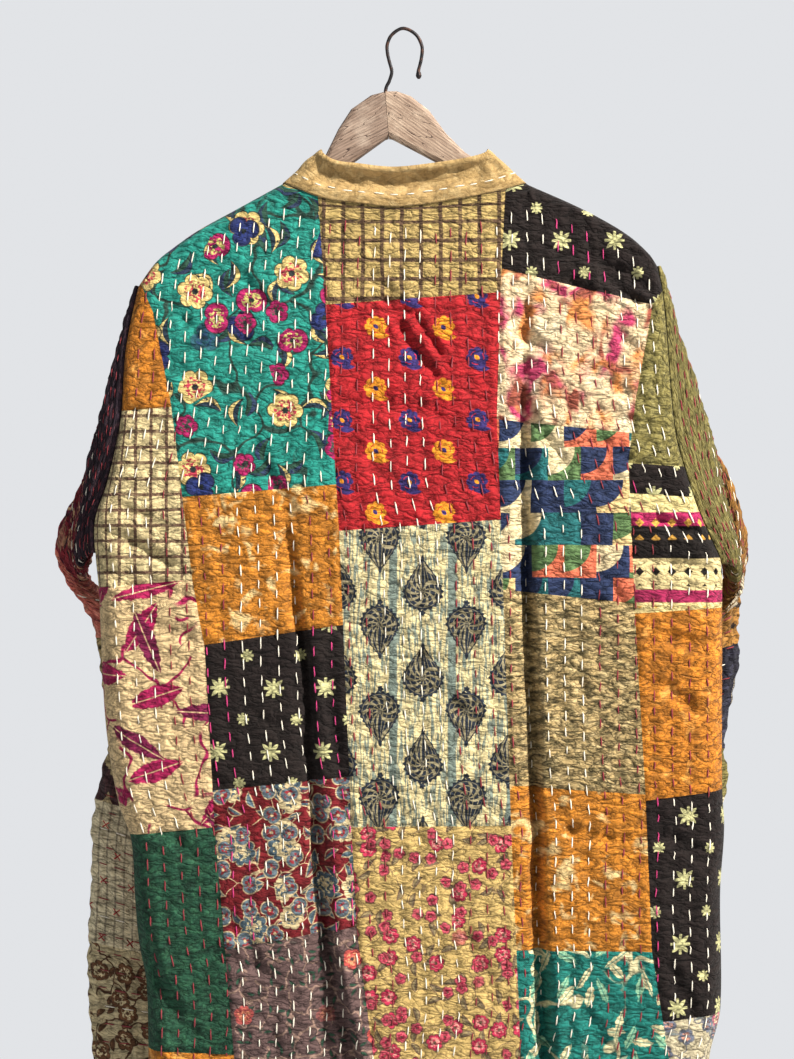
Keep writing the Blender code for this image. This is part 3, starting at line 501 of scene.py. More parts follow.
def linear(red, green, blue):
    parts = [channel / 255 for channel in (red, green, blue)]
    return tuple(p / 12.92 if p <= .04045 else ((p + .055) / 1.055) ** 2.4 for p in parts) + (1.0,)


# A material under construction, with short ways to add the nodes that the prints need.
class Cloth:
    def __init__(self, name):
        self.material = bpy.data.materials.new(name)
        self.material.use_nodes = True
        self.tree = self.material.node_tree
        self.shader = self.tree.nodes["Principled BSDF"]
        self.place = self.node("ShaderNodeAttribute", attribute_name="clothMm").outputs["Vector"]
        split = self.node("ShaderNodeSeparateXYZ", Vector=self.place)
        self.x, self.y, self.row = split.outputs

    def node(self, kind, **settings):
        made = self.tree.nodes.new(kind)
        for key, value in settings.items():
            if hasattr(made, key):
                setattr(made, key, value)
            else:
                self.put(made.inputs[key.replace("_", " ")], value)
        return made

    def put(self, socket, value):
        if isinstance(value, bpy.types.NodeSocket):
            self.tree.links.new(value, socket)
        else:
            socket.default_value = value

    def math(self, operation, a, b=0.0, c=0.0, clamp=False):
        made = self.node("ShaderNodeMath", operation=operation, use_clamp=clamp)
        for socket, value in zip(made.inputs, (a, b, c)):
            self.put(socket, value)
        return made.outputs[0]

    def vector(self, x, y, z=0.0):
        made = self.node("ShaderNodeCombineXYZ")
        for socket, value in zip(made.inputs, (x, y, z)):
            self.put(socket, value)
        return made.outputs[0]

    def mix(self, a, b, share, blend="MIX"):
        made = self.node("ShaderNodeMix", data_type="RGBA", blend_type=blend)
        self.put(made.inputs[0], share)
        self.put(made.inputs[6], a)
        self.put(made.inputs[7], b)
        return made.outputs[2]

    def noise(self, size, detail=2.0, roughness=.5, at=None, warp=0.0):
        made = self.node("ShaderNodeTexNoise", Scale=1 / size, Detail=detail, Roughness=roughness,
                         Distortion=warp, Vector=at or self.place)
        return made.outputs["Fac"]

    # 0 below the edge and 1 above it.
    def above(self, value, edge, soft=.02):
        return self.math("MULTIPLY_ADD", self.math("SUBTRACT", value, edge), 1 / soft, .5, clamp=True)

    def below(self, value, edge, soft=.02):
        return self.math("MULTIPLY_ADD", self.math("SUBTRACT", value, edge), -1 / soft, .5, clamp=True)

    def both(self, a, b):
        return self.math("MULTIPLY", a, b)

    def either(self, a, b):
        return self.math("MAXIMUM", a, b)

    # Places moved a little by noise, as a hand-cut block prints them.
    def wavering(self, amount, size):
        made = self.node("ShaderNodeTexNoise", Scale=1 / size, Detail=1.0, Vector=self.flatPlace())
        moved = self.node("ShaderNodeVectorMath", operation="MULTIPLY_ADD")
        self.put(moved.inputs[0], made.outputs["Color"])
        moved.inputs[1].default_value = (amount * 2, amount * 2, 0)
        self.put(moved.inputs[2], self.flatPlace())
        return moved.outputs[0]

    def flatPlace(self):
        return self.vector(self.x, self.y)

    # Scattered motifs: the distance from each, the angle round it and a random number for it.
    def scattered(self, size, seed=0.0, stretch=1.0, jitter=.75, turn=True):
        place = self.vector(self.math("ADD", self.x, seed * 17.3), self.math("DIVIDE", self.y, stretch))
        cells = self.node("ShaderNodeTexVoronoi", voronoi_dimensions="2D", Scale=1 / size,
                          Randomness=jitter, Vector=place)
        apart = self.node("ShaderNodeVectorMath", operation="SUBTRACT")
        self.put(apart.inputs[0], place)
        self.put(apart.inputs[1], cells.outputs["Position"])
        away = self.node("ShaderNodeSeparateXYZ", Vector=apart.outputs[0])
        chance = self.node("ShaderNodeSeparateColor", Color=cells.outputs["Color"])
        u, v = away.outputs[0], self.math("MULTIPLY", away.outputs[1], stretch)
        if turn:
            angle = self.math("MULTIPLY", chance.outputs[1], 6.28)
            sine, cosine = self.math("SINE", angle), self.math("COSINE", angle)
            u, v = (self.math("SUBTRACT", self.both(u, cosine), self.both(v, sine)),
                    self.math("ADD", self.both(u, sine), self.both(v, cosine)))
        return u, v, chance.outputs[0], chance.outputs[2]

    def radius(self, u, v):
        return self.math("SQRT", self.math("ADD", self.both(u, u), self.both(v, v)))

    # A flower: rounded petals with narrow notches between them, 1 inside.
    def petals(self, u, v, radius, count, notch=.3, soft=.8):
        turn = self.math("MULTIPLY", self.math("ARCTAN2", v, u), count / 2)
        wave = self.math("POWER", self.math("ABSOLUTE", self.math("COSINE", turn)), .5)
        edge = self.math("MULTIPLY_ADD", wave, radius * notch, radius * (1 - notch))
        return self.below(self.math("SUBTRACT", self.radius(u, v), edge), 0, soft)

    # A leaf or almond along u, 1 inside.
    def leaf(self, u, v, length, width, soft=.8):
        share = self.math("DIVIDE", u, length)
        half = self.math("MULTIPLY", self.math("SUBTRACT", 1.0, self.both(share, share)), width)
        return self.below(self.math("SUBTRACT", self.math("ABSOLUTE", v), half), 0, soft)

    # Thin stems along the borders of warped cells, broken off here and there. The width is in mm.
    def stems(self, size, width, seed=0.0):
        moved = self.node("ShaderNodeVectorMath", operation="ADD")
        self.put(moved.inputs[0], self.wavering(size * .4, size * .5))
        moved.inputs[1].default_value = (seed * 31.7, 0, 0)
        cells = self.node("ShaderNodeTexVoronoi", voronoi_dimensions="2D", feature="DISTANCE_TO_EDGE",
                          Scale=1 / size, Randomness=.85, Vector=moved.outputs[0])
        line = self.below(cells.outputs["Distance"], width / size, width / size * .7)
        return self.both(line, self.above(self.noise(size * .8, 1.0), .40, .04))

    # Cells of a plain square or brick grid: place inside the cell and its index.
    def cells(self, wide, high, shift=0.0, at=None):
        x, y = self.x, self.y
        if at is not None:
            split = self.node("ShaderNodeSeparateXYZ", Vector=at)
            x, y = split.outputs[0], split.outputs[1]
        down = self.math("DIVIDE", y, high)
        line = self.math("FLOOR", down)
        across = self.math("ADD", self.math("DIVIDE", x, wide), self.math("MULTIPLY", line, shift))
        column = self.math("FLOOR", across)
        u = self.math("MULTIPLY", self.math("SUBTRACT", self.math("SUBTRACT", across, column), .5), wide)
        v = self.math("MULTIPLY", self.math("SUBTRACT", self.math("SUBTRACT", down, line), .5), high)
        return u, v, column, line

    def odd(self, number):
        return self.math("MODULO", self.math("ABSOLUTE", self.math("ROUND", number)), 2.0)

    # Everything that all the cottons share: fading, slubs, painted shade along the needle's dimples and in
    # the crinkles' valleys, crinkle and weave bumps, and roughness.
    def finish(self, colour, roughness=.92, weave=.9, slub=1.0, wear=.16, crinkle=1.0):
        fade = self.noise(70, 3.0, .6)
        faded = self.mix(colour, linear(214, 200, 176), self.math("MULTIPLY", fade, wear * .14))
        blotch = self.noise(16, 4.0, .65)
        shade = self.math("MULTIPLY_ADD", blotch, .60, .66)
        across = self.noise(1.4, 2.0, .6, self.vector(self.math("MULTIPLY", self.x, .14), self.y))
        along = self.noise(1.4, 2.0, .6, self.vector(self.x, self.math("MULTIPLY", self.y, .14)))
        threads = self.math("ADD", across, along)
        shade = self.both(shade, self.math("MULTIPLY_ADD", threads, .34 * slub, 1 - .34 * slub))
        # Painted shade along the stitch lines and painted light on the puffs between them.
        paintedRowShade = self.math("COSINE", self.math("MULTIPLY", self.row, 2 * math.pi))
        shade = self.both(shade, self.math("MULTIPLY_ADD", paintedRowShade, -.08, .96))
        puffs, paintedCreaseShade = 0.0, 1.0
        for size, squash, amount in ((9.0, .45, 1.15), (5.0, .6, .5)):
            at = self.vector(self.math("MULTIPLY", self.x, squash), self.y)
            away = self.math("ABSOLUTE", self.math("SUBTRACT", self.noise(size, 2.0, .5, at, .35), .5))
            puffs = self.math("MULTIPLY_ADD", self.math("POWER", away, .7), amount * crinkle, puffs)
            # Painted shade: the colour is darkened in the valleys of the crinkles.
            darker = self.math("MULTIPLY_ADD", self.below(away, .03, .05), -.38 * crinkle, 1.0)
            paintedCreaseShade = self.both(paintedCreaseShade, darker)
        # shade now carries the random blotches and slubs together with the painted shade in the creases and
        # along the stitch lines.
        shade = self.both(shade, paintedCreaseShade)
        toned = self.node("ShaderNodeVectorMath", operation="SCALE", Vector=faded)
        self.put(toned.inputs["Scale"], shade)
        self.put(self.shader.inputs["Base Color"], toned.outputs[0])
        rough = self.math("MULTIPLY_ADD", blotch, .12, roughness - .08)
        self.put(self.shader.inputs["Roughness"], rough)
        self.shader.inputs["Specular IOR Level"].default_value = .15
        self.shader.inputs["Sheen Weight"].default_value = .04
        self.shader.inputs["Sheen Roughness"].default_value = .5
        warp = self.math("SINE", self.math("MULTIPLY", self.x, 2 * math.pi / weave))
        weft = self.math("SINE", self.math("MULTIPLY", self.y, 2 * math.pi / weave))
        height = self.math("ADD", self.math("MULTIPLY", self.both(warp, weft), .02),
                           self.math("MULTIPLY_ADD", threads, .05, puffs))
        bump = self.node("ShaderNodeBump", Strength=1.0, Distance=.0050, Height=height)
        self.put(self.shader.inputs["Normal"], bump.outputs[0])
        return self.material


def mottled(name, colours, size=14, weave=.9, slub=1.0, wear=.16, crinkle=1.0, streak=1.0):
    cloth = Cloth(name)
    colour = linear(*colours[0])
    for k, other in enumerate(colours[1:]):
        field = cloth.noise(size / (1 + .45 * k), 4.0, .68, cloth.vector(
            cloth.math("MULTIPLY_ADD", cloth.x, streak, 40.0 * k), cloth.y))
        colour = cloth.mix(colour, linear(*other), cloth.above(field, .55, .10))
    return cloth.finish(colour, weave=weave, slub=slub, wear=wear, crinkle=crinkle)


# Flowers and leaves on thin stems. A flower is (petals, petal, heart, radius in mm, share of its places).
def chintz(name, ground, stem, leaves, flowers, size=34, seed=0.0, edge=None, stemWidth=.8):
    cloth = Cloth(name)
    edge = linear(*(edge or stem))
    deeper = linear(*[channel * .78 for channel in ground])
    colour = cloth.mix(linear(*ground), deeper, cloth.noise(15, 4.0, .65))
    colour = cloth.mix(colour, linear(*stem), cloth.stems(size * 1.15, stemWidth, seed))
    for k, (shade, pale) in enumerate(leaves):
        u, v, chance, _ = cloth.scattered(size * (.52 + .1 * k), seed + 3 + 2 * k, 1.0)
        keep = cloth.below(chance, .58)
        bent = cloth.math("MULTIPLY_ADD", cloth.both(u, u), .045, cloth.math("SUBTRACT", v, size * .02))
        long, wide = size * .21, size * .07
        colour = cloth.mix(colour, edge, cloth.both(cloth.leaf(u, bent, long + 1.0, wide + .7), keep))
        inside = cloth.both(cloth.leaf(u, bent, long, wide), keep)
        half = cloth.math("MULTIPLY", cloth.above(bent, 0, .5), cloth.above(cloth.noise(3), .4, .1))
        colour = cloth.mix(colour, cloth.mix(linear(*shade), linear(*pale), half), inside)
    for k, (count, petal, heart, reach, share) in enumerate(flowers):
        u, v, chance, _ = cloth.scattered(reach * 2.7, seed + 11 + 5 * k, 1.0)
        keep = cloth.below(chance, share)
        notch = .46 if count < 5 else .28
        veins = cloth.above(cloth.noise(2.4, 2.0), .50, .08)
        for radius, shade, part in ((reach + .9, edge, 1.0), (reach, linear(*petal), 1.0),
                                    (reach * .66, linear(*heart), veins), (reach * .2, edge, 1.0)):
            shape = cloth.both(cloth.petals(u, v, radius, count, notch), keep)
            colour = cloth.mix(colour, shade, cloth.both(shape, part))
    return cloth.finish(colour)


# Mottled cloth with a darker net over it and soft pale patches; crisp ones are small printed sprigs.
def spotted(name, ground, spot, size=15, radius=2.6, crisp=False):
    cloth = Cloth(name)
    dark = linear(*[channel * .72 for channel in ground])
    colour = cloth.mix(linear(*ground), dark, cloth.above(cloth.noise(12, 4.0, .65), .52, .25))
    if crisp:
        u, v, _, _ = cloth.scattered(size, 2.0, .9, .45)
        return cloth.finish(cloth.mix(colour, linear(*spot), cloth.petals(u, v, radius, 5, .5)))
    net = cloth.math("ABSOLUTE", cloth.math("SUBTRACT", cloth.noise(7, 3.0, .6), .5))
    colour = cloth.mix(colour, dark, cloth.math("MULTIPLY", cloth.below(net, .03, .04), .7))
    patches = cloth.above(cloth.noise(17, 2.5, .55, None, .5), .62, .10)
    grain = cloth.math("MULTIPLY_ADD", cloth.noise(4, 3.0), .9, .25, clamp=True)
    return cloth.finish(cloth.mix(colour, linear(*spot), cloth.both(patches, grain)))


# Brushed lines both ways on a mottled ground.
def checked(name, ground, line, mottle, size=16, width=1.3):
    cloth = Cloth(name)
    field = cloth.above(cloth.noise(9, 4.0, .7), .5, .3)
    colour = cloth.mix(linear(*ground), linear(*mottle), cloth.math("MULTIPLY", field, .45))
    split = cloth.node("ShaderNodeSeparateXYZ", Vector=cloth.wavering(1.1, 26))
    ragged = cloth.math("MULTIPLY_ADD", cloth.noise(1.6, 2.0), 1.2, -.6)
    for axis in (0, 1):
        away = cloth.math("ADD", cloth.math("PINGPONG", split.outputs[axis], size / 2), ragged)
        broken = cloth.math("MULTIPLY_ADD", cloth.noise(4, 2.0), 1.4, .20, clamp=True)
        colour = cloth.mix(colour, linear(*line), cloth.both(cloth.below(away, width, .4), broken))
    return cloth.finish(colour, weave=1.2, slub=1.3)


# Small eight-armed stars wide apart on black, with smaller ones midway between them.
def starred(name, ground, star, wide=42, high=51):
    cloth = Cloth(name)
    paler = linear(*[min(channel * 1.6, 255) for channel in ground])
    colour = cloth.mix(linear(*ground), paler, cloth.noise(12, 4.0, .7))
    worn = cloth.math("MULTIPLY_ADD", cloth.noise(3, 2.0), 1.0, .38, clamp=True)
    for k, reach in enumerate((9.2, 5.6)):
        moved = cloth.node("ShaderNodeVectorMath", operation="ADD")
        cloth.put(moved.inputs[0], cloth.wavering(1.8, 40))
        moved.inputs[1].default_value = (wide * .5 * k + 9, high * .5 * k + 6, 0)
        u, v, _, _ = cloth.cells(wide, high, .07, moved.outputs[0])
        radius = cloth.radius(u, v)
        ray = cloth.math("PINGPONG", cloth.math("ARCTAN2", v, u), math.pi / 4)
        arm = cloth.both(cloth.below(cloth.both(ray, radius), 1.1, .6), cloth.below(radius, reach * .86, .5))
        between = cloth.both(cloth.math("SUBTRACT", math.pi / 4, ray), radius)
        share = cloth.math("DIVIDE", radius, reach)
        bulge = cloth.both(cloth.both(share, cloth.math("SUBTRACT", 1.0, share)), reach * .78)
        inLeaf = cloth.below(cloth.math("SUBTRACT", between, bulge), 0, .5)
        leaf = cloth.both(inLeaf, cloth.above(radius, 1.2, .4))
        colour = cloth.mix(colour, linear(*star), cloth.both(cloth.either(arm, leaf), worn))
    return cloth.finish(colour)


# Round roses in columns of two colours by turns.
def rosettes(name, ground, first, second, wide=54, high=24.8, radius=8.8):
    cloth = Cloth(name)
    moved = cloth.node("ShaderNodeVectorMath", operation="ADD")
    cloth.put(moved.inputs[0], cloth.wavering(1.8, 24))
    moved.inputs[1].default_value = (20, -6, 0)
    u, v, _, line = cloth.cells(wide, high, .5, moved.outputs[0])
    colour = cloth.mix(linear(*ground), linear(*[c * .72 for c in ground]), cloth.noise(18, 4.0, .6))
    tone = cloth.mix(linear(*first), linear(*second), cloth.odd(line))
    other = cloth.mix(linear(*second), linear(*first), cloth.odd(line))
    ragged = cloth.math("MULTIPLY_ADD", cloth.noise(3, 2.0), 1.6, -.8)
    edgeU = cloth.math("ADD", u, ragged)
    leafU, leafV = cloth.math("SUBTRACT", edgeU, radius * .5), cloth.math("SUBTRACT", v, radius * .9)
    leaf = cloth.leaf(leafU, leafV, radius * .7, 2.2)
    shape = cloth.either(cloth.petals(edgeU, v, radius, 8, .24), leaf)
    colour = cloth.mix(colour, tone, shape)
    fromRim = cloth.math("ABSOLUTE", cloth.math("SUBTRACT", cloth.radius(edgeU, v), radius * .58))
    rim = cloth.below(fromRim, .32, .4)
    turn = cloth.math("MULTIPLY_ADD", cloth.math("ARCTAN2", v, u), 3.0, .7)
    broken = cloth.above(cloth.math("COSINE", turn), .1, .3)
    colour = cloth.mix(colour, linear(*ground), cloth.both(rim, broken))
    heart = cloth.leaf(cloth.math("ADD", u, v), cloth.math("SUBTRACT", u, v), radius * .42, radius * .26)
    return cloth.finish(cloth.mix(colour, other, heart))


# Lace-edged drops in columns, point up and point down by turns, over streaks and broad stripes.
def paisley(name, ground, ink, stripe, wide=34.5, high=69, radius=15.4):
    cloth = Cloth(name)
    split = cloth.node("ShaderNodeSeparateXYZ", Vector=cloth.wavering(1.4, 30))
    across = cloth.math("DIVIDE", split.outputs[0], wide)
    column = cloth.math("FLOOR", across)
    down = cloth.math("MULTIPLY_ADD", column, .5, cloth.math("DIVIDE", split.outputs[1], high))
    u = cloth.math("MULTIPLY", cloth.math("SUBTRACT", cloth.math("SUBTRACT", across, column), .5), wide)
    v = cloth.math("MULTIPLY", cloth.math("SUBTRACT", cloth.math("FRACT", down), .5), high)
    side = cloth.math("MULTIPLY_ADD", cloth.odd(column), 2.0, -1.0)
    up = cloth.math("ADD", cloth.both(v, side), radius * .25)
    streaks = cloth.noise(2.2, 3.0, .6, cloth.vector(cloth.x, cloth.math("MULTIPLY", cloth.y, .12)))
    streaked = cloth.math("MULTIPLY", cloth.above(streaks, .52, .08), .95)
    colour = cloth.mix(linear(*ground), linear(*stripe), streaked)
    broad = cloth.below(cloth.math("PINGPONG", cloth.math("ADD", cloth.x, 8.0), wide * .68), 3.2, .8)
    colour = cloth.mix(colour, linear(*stripe), broad)
    share = cloth.math("DIVIDE", up, radius * 1.66, clamp=True)
    arch = cloth.math("SUBTRACT", 1.04, cloth.both(share, share))
    taper = cloth.both(arch, cloth.math("MULTIPLY_ADD", share, -.4, 1.0))
    wideU = cloth.math("DIVIDE", u, taper)
    below = cloth.math("MINIMUM", up, 0.0)
    ratio = cloth.math("DIVIDE", cloth.radius(wideU, below), radius)
    angle = cloth.math("ARCTAN2", cloth.math("ADD", up, .01), u)
    lace = cloth.math("MULTIPLY_ADD", cloth.math("COSINE", cloth.math("MULTIPLY", angle, 22.0)), .05, 1.0)
    inTip = cloth.below(up, radius * 1.62, .6)
    inside = cloth.both(cloth.below(cloth.math("SUBTRACT", ratio, lace), 0, .05), inTip)
    colour = cloth.mix(colour, linear(*ink), inside)
    fromRing = cloth.math("ABSOLUTE", cloth.math("SUBTRACT", cloth.math("PINGPONG", ratio, .25), .14))
    rings = cloth.below(fromRing, .022, .03)
    swirl = cloth.math("MULTIPLY_ADD", ratio, 9.0, cloth.both(angle, 10.0))
    lobes = cloth.above(cloth.math("COSINE", swirl), .25, .3)
    drawn = cloth.either(rings, cloth.both(lobes, cloth.below(ratio, .82, .05)))
    light = cloth.both(drawn, cloth.below(ratio, .86, .04))
    colour = cloth.mix(colour, linear(*ground), cloth.both(cloth.both(light, inTip), .36))
    foot = cloth.petals(u, cloth.math("ADD", up, radius * 1.13), 2.6, 5, .4)
    tip = cloth.leaf(cloth.math("SUBTRACT", up, radius * 1.62), u, 3.6, 1.5)
    return cloth.finish(cloth.mix(colour, linear(*ink), cloth.either(foot, tip)))


# Soft patches of colour that run into one another.
def blots(name, colours, size=30, seed=0.0, sharp=.10, weave=1.4):
    cloth = Cloth(name)
    colour = linear(*colours[0])
    for k, other in enumerate(colours[1:]):
        place = cloth.vector(cloth.math("ADD", cloth.x, seed + 57.0 * k), cloth.math("MULTIPLY", cloth.y, .8))
        field = cloth.noise(size * (1.0 - .08 * k), 2.5, .5, place, .6)
        colour = cloth.mix(colour, linear(*other), cloth.above(field, .56 + .015 * k, sharp))
    return cloth.finish(colour, weave=weave, slub=1.5)


# Almond leaves and thin stems on a coarse ground, scattered and turned at random.
def leafPrint(name, ground, ink, dark, size=44):
    cloth = Cloth(name)
    colour = cloth.mix(linear(*ground), linear(*[c * .86 for c in ground]), cloth.noise(10, 4.0, .7))
    stems = cloth.both(cloth.stems(54, 1.5, 4.0), cloth.above(cloth.noise(60), .45))
    colour = cloth.mix(colour, linear(*ink), stems)
    for k in range(3):
        u, v, chance, _ = cloth.scattered(size * (.78 + .2 * k), 21 + 7 * k, 1.15)
        ragged = cloth.math("MULTIPLY_ADD", cloth.noise(4, 2.0), 5.0, -2.5)
        shape = cloth.leaf(u, cloth.math("ADD", v, ragged), size * (.36 + .05 * k), size * (.13 - .02 * k))
        shape = cloth.both(shape, cloth.below(chance, .60))
        colour = cloth.mix(colour, linear(*(ink if k != 1 else dark)), shape)
        rib = cloth.both(shape, cloth.below(cloth.math("ABSOLUTE", v), .5, .4))
        colour = cloth.mix(colour, linear(*ground), cloth.math("MULTIPLY", rib, .7))
    return cloth.finish(colour, weave=1.6, slub=1.9)


# Blocks of plain colour, each block's corner rounded off by a quarter circle.
def blocks(name, colours, size=26):
    cloth = Cloth(name)
    u, v, column, line = cloth.cells(size, size, .5, cloth.wavering(1.5, 30))
    pick = cloth.math("FRACT", cloth.math("MULTIPLY", cloth.math("SINE", cloth.math(
        "ADD", cloth.math("MULTIPLY", column, 12.7), cloth.math("MULTIPLY", line, 37.9))), 43.7))
    second = cloth.math("FRACT", cloth.math("MULTIPLY", pick, 7.31))
    colour, over = linear(*colours[0]), linear(*colours[1])
    for k, other in enumerate(colours[1:]):
        edge = (k + 1) / len(colours)
        colour = cloth.mix(colour, linear(*other), cloth.above(pick, edge, .001))
        over = cloth.mix(over, linear(*colours[k]), cloth.above(second, edge, .001))
    cornerU, cornerV = cloth.math("ADD", u, size / 2), cloth.math("ADD", v, size / 2)
    quarter = cloth.below(cloth.radius(cornerU, cornerV), size * .82, .6)
    return cloth.finish(cloth.mix(colour, over, quarter), weave=1.2)


# Wide bands across the cloth, with a row of diamonds in the dark ones.
def bands(name, edges, colours, diamond, top):
    cloth = Cloth(name)
    split = cloth.node("ShaderNodeSeparateXYZ", Vector=cloth.wavering(1.0, 24))
    down = cloth.math("SUBTRACT", split.outputs[1], top)
    colour = linear(*colours[0])
    for edge, shade in zip(edges, colours[1:]):
        colour = cloth.mix(colour, linear(*shade), cloth.above(down, edge, .8))
    u, v, _, _ = cloth.cells(13, 13, .0)
    lozenge = cloth.below(cloth.math("ADD", cloth.math("ABSOLUTE", u), cloth.math("ABSOLUTE", v)), 3.6, .9)
    for k, edge in enumerate(edges[1::2]):
        within = cloth.both(cloth.above(down, edge + 3, 1), cloth.below(down, edge + 22, 1))
        colour = cloth.mix(colour, linear(*diamond[k % len(diamond)]), cloth.both(lozenge, within))
    return cloth.finish(colour)


def ticking(name, ground, dark, red, size=7.5):
    cloth = Cloth(name)
    colour = linear(*ground)
    for axis, strength in ((cloth.x, .65), (cloth.y, .35)):
        stripe = cloth.below(cloth.math("PINGPONG", axis, size / 2), .8, .5)
        worn = cloth.both(stripe, cloth.math("MULTIPLY", cloth.noise(2.4), strength * 1.6))
        colour = cloth.mix(colour, linear(*dark), worn)
    u, v, _, _ = cloth.cells(size * 3.2, size * 3, .5)
    unequal = cloth.math("SUBTRACT", cloth.math("ABSOLUTE", u), cloth.math("ABSOLUTE", v))
    cross = cloth.below(cloth.math("ABSOLUTE", unequal), .7, .5)
    cross = cloth.both(cross, cloth.below(cloth.radius(u, v), size * .5, .5))
    return cloth.finish(cloth.mix(colour, linear(*red), cross))


print("prints")
black = (19, 13, 14)
magenta, paleYellow, navy, slate = (168, 30, 94), (228, 202, 130), (34, 46, 96), (72, 92, 104)
printMaterials = {
    "tealChintz": chintz("tealChintz", (38, 156, 140), (36, 66, 58),
                         [((40, 76, 62), (44, 60, 92)), ((30, 50, 66), paleYellow)],
                         [(6, paleYellow, (190, 60, 80), 14, .30), (3, navy, (40, 56, 120), 12, .26),
                          (2, magenta, (196, 190, 110), 12, .26), (5, magenta, (60, 70, 62), 9, .16)],
                         52, 1.0, (34, 42, 44), 1.6),
    "orangePlain": spotted("orangePlain", (222, 138, 44), (234, 166, 82)),
    "oliveCheck": checked("oliveCheck", (222, 202, 152), (96, 70, 56), (180, 164, 114), 12.5, 1.3),
    "burlapLeaves": leafPrint("burlapLeaves", (226, 196, 146), (158, 22, 78), (112, 20, 64), 66),
    "darkGreen": mottled("darkGreen", [(30, 76, 56), (22, 58, 44), (44, 92, 66)], 10),
    "orangeSpots": spotted("orangeSpots", (220, 140, 46), (244, 218, 156)),
    "blackStars": starred("blackStars", black, (212, 208, 150)),
    "redChintz": chintz("redChintz", (126, 22, 34), (198, 172, 132),
                        [(slate, (96, 116, 124)), (slate, (120, 40, 48))],
                        [(8, slate, (222, 206, 160), 11, .55), (6, (214, 194, 148), slate, 9, .5),
                         (2, (96, 112, 122), (140, 40, 48), 7, .6)], 30, 5.0, (206, 184, 142), .6),
    "mauveSpeckle": chintz("mauveSpeckle", (112, 88, 86), (152, 124, 110), [((34, 66, 52), (44, 80, 58))],
                           [(5, (196, 84, 78), (226, 150, 110), 8, .22)], 16, 9.0, (84, 62, 66), .9),
    "khakiCheck": checked("khakiCheck", (192, 164, 104), (84, 62, 48), (150, 132, 76), 15.6, 1.6),
    "redRosettes": rosettes("redRosettes", (198, 34, 44), (52, 42, 104), (238, 152, 40)),
    "creamPaisley": paisley("creamPaisley", (230, 212, 158), (30, 40, 54), (122, 136, 126)),
    "roseBeige": chintz("roseBeige", (224, 190, 118), (140, 116, 80), [((116, 100, 76), (150, 132, 92))],
                        [(7, (190, 48, 80), (226, 150, 140), 6.5, .30),
                         (5, (204, 84, 100), (150, 30, 60), 4.5, .34)],
                        26, 13.0, (104, 76, 60), .45),
    "softBlots": blots("softBlots", [(226, 200, 158), (186, 62, 100), (214, 136, 74),
                                     (230, 210, 172), (150, 78, 62)]),
    "colourBlocks": blocks("colourBlocks", [(222, 202, 158), (38, 52, 86), (34, 104, 106), (214, 110, 80),
                                            (92, 122, 76), (220, 190, 132)]),
    "khakiMottled": mottled("khakiMottled", [(184, 158, 108), (118, 104, 70), (202, 178, 128), (104, 92, 60)],
                            9, streak=.5, crinkle=1.35),
    "tealFoliage": leafPrint("tealFoliage", (24, 122, 112), (216, 206, 160), (140, 186, 150), 26),
    "oliveMottled": mottled("oliveMottled", [(128, 118, 66), (96, 90, 52), (150, 140, 86)], 8),
    "broadBands": bands("broadBands", (0, 17, 28, 54, 79, 89),
                        [(206, 126, 40), (226, 206, 142), (176, 40, 92), black, (216, 196, 142),
                         (166, 40, 86), (226, 206, 142)], [(214, 160, 70), black], 372),
    "greyFloral": chintz("greyFloral", (222, 208, 172), (120, 120, 124), [((128, 136, 132), (170, 160, 140))],
                         [(6, (196, 110, 130), (232, 214, 170), 8, .5),
                          (5, (112, 118, 134), (206, 150, 130), 6, .5)],
                         26, 17.0, None, .6),
    "purpleBlack": mottled("purpleBlack", [(52, 38, 52), (38, 28, 40), (84, 56, 66)], 10),
    "redFloral": chintz("redFloral", (160, 48, 60), (90, 26, 44), [((70, 60, 62), (196, 122, 92))],
                        [(6, (222, 170, 130), (120, 30, 50), 8, .5),
                         (5, (110, 30, 56), (226, 186, 140), 7, .5)],
                        24, 21.0),
    "coralPlain": mottled("coralPlain", [(206, 108, 92), (184, 88, 78), (220, 140, 118)], 14),
    "darkPaisley": paisley("darkPaisley", (66, 48, 50), (186, 166, 122), (90, 60, 62), 24, 48, 10.5),
    "ticking": ticking("ticking", (222, 208, 172), (96, 84, 76), (176, 50, 56)),
    "scrolls": chintz("scrolls", (222, 204, 160), (84, 56, 40), [((92, 62, 42), (120, 84, 56))],
                      [(6, (110, 74, 50), (222, 204, 160), 8, .6)], 22, 25.0, None, 1.0),
    "ochreSprigs": spotted("ochreSprigs", (170, 120, 56), (48, 38, 34), 18, 2.6, True),
    "navyPlain": mottled("navyPlain", [(38, 38, 52), (28, 28, 40), (58, 58, 76)], 12),
    "plainLining": mottled("plainLining", [(214, 200, 172), (200, 184, 154)], 20, 1.1),
    "tanCollar": mottled("tanCollar", [(176, 146, 96), (154, 126, 80), (190, 162, 112)], 15, .8, .8, .10, .5),
}


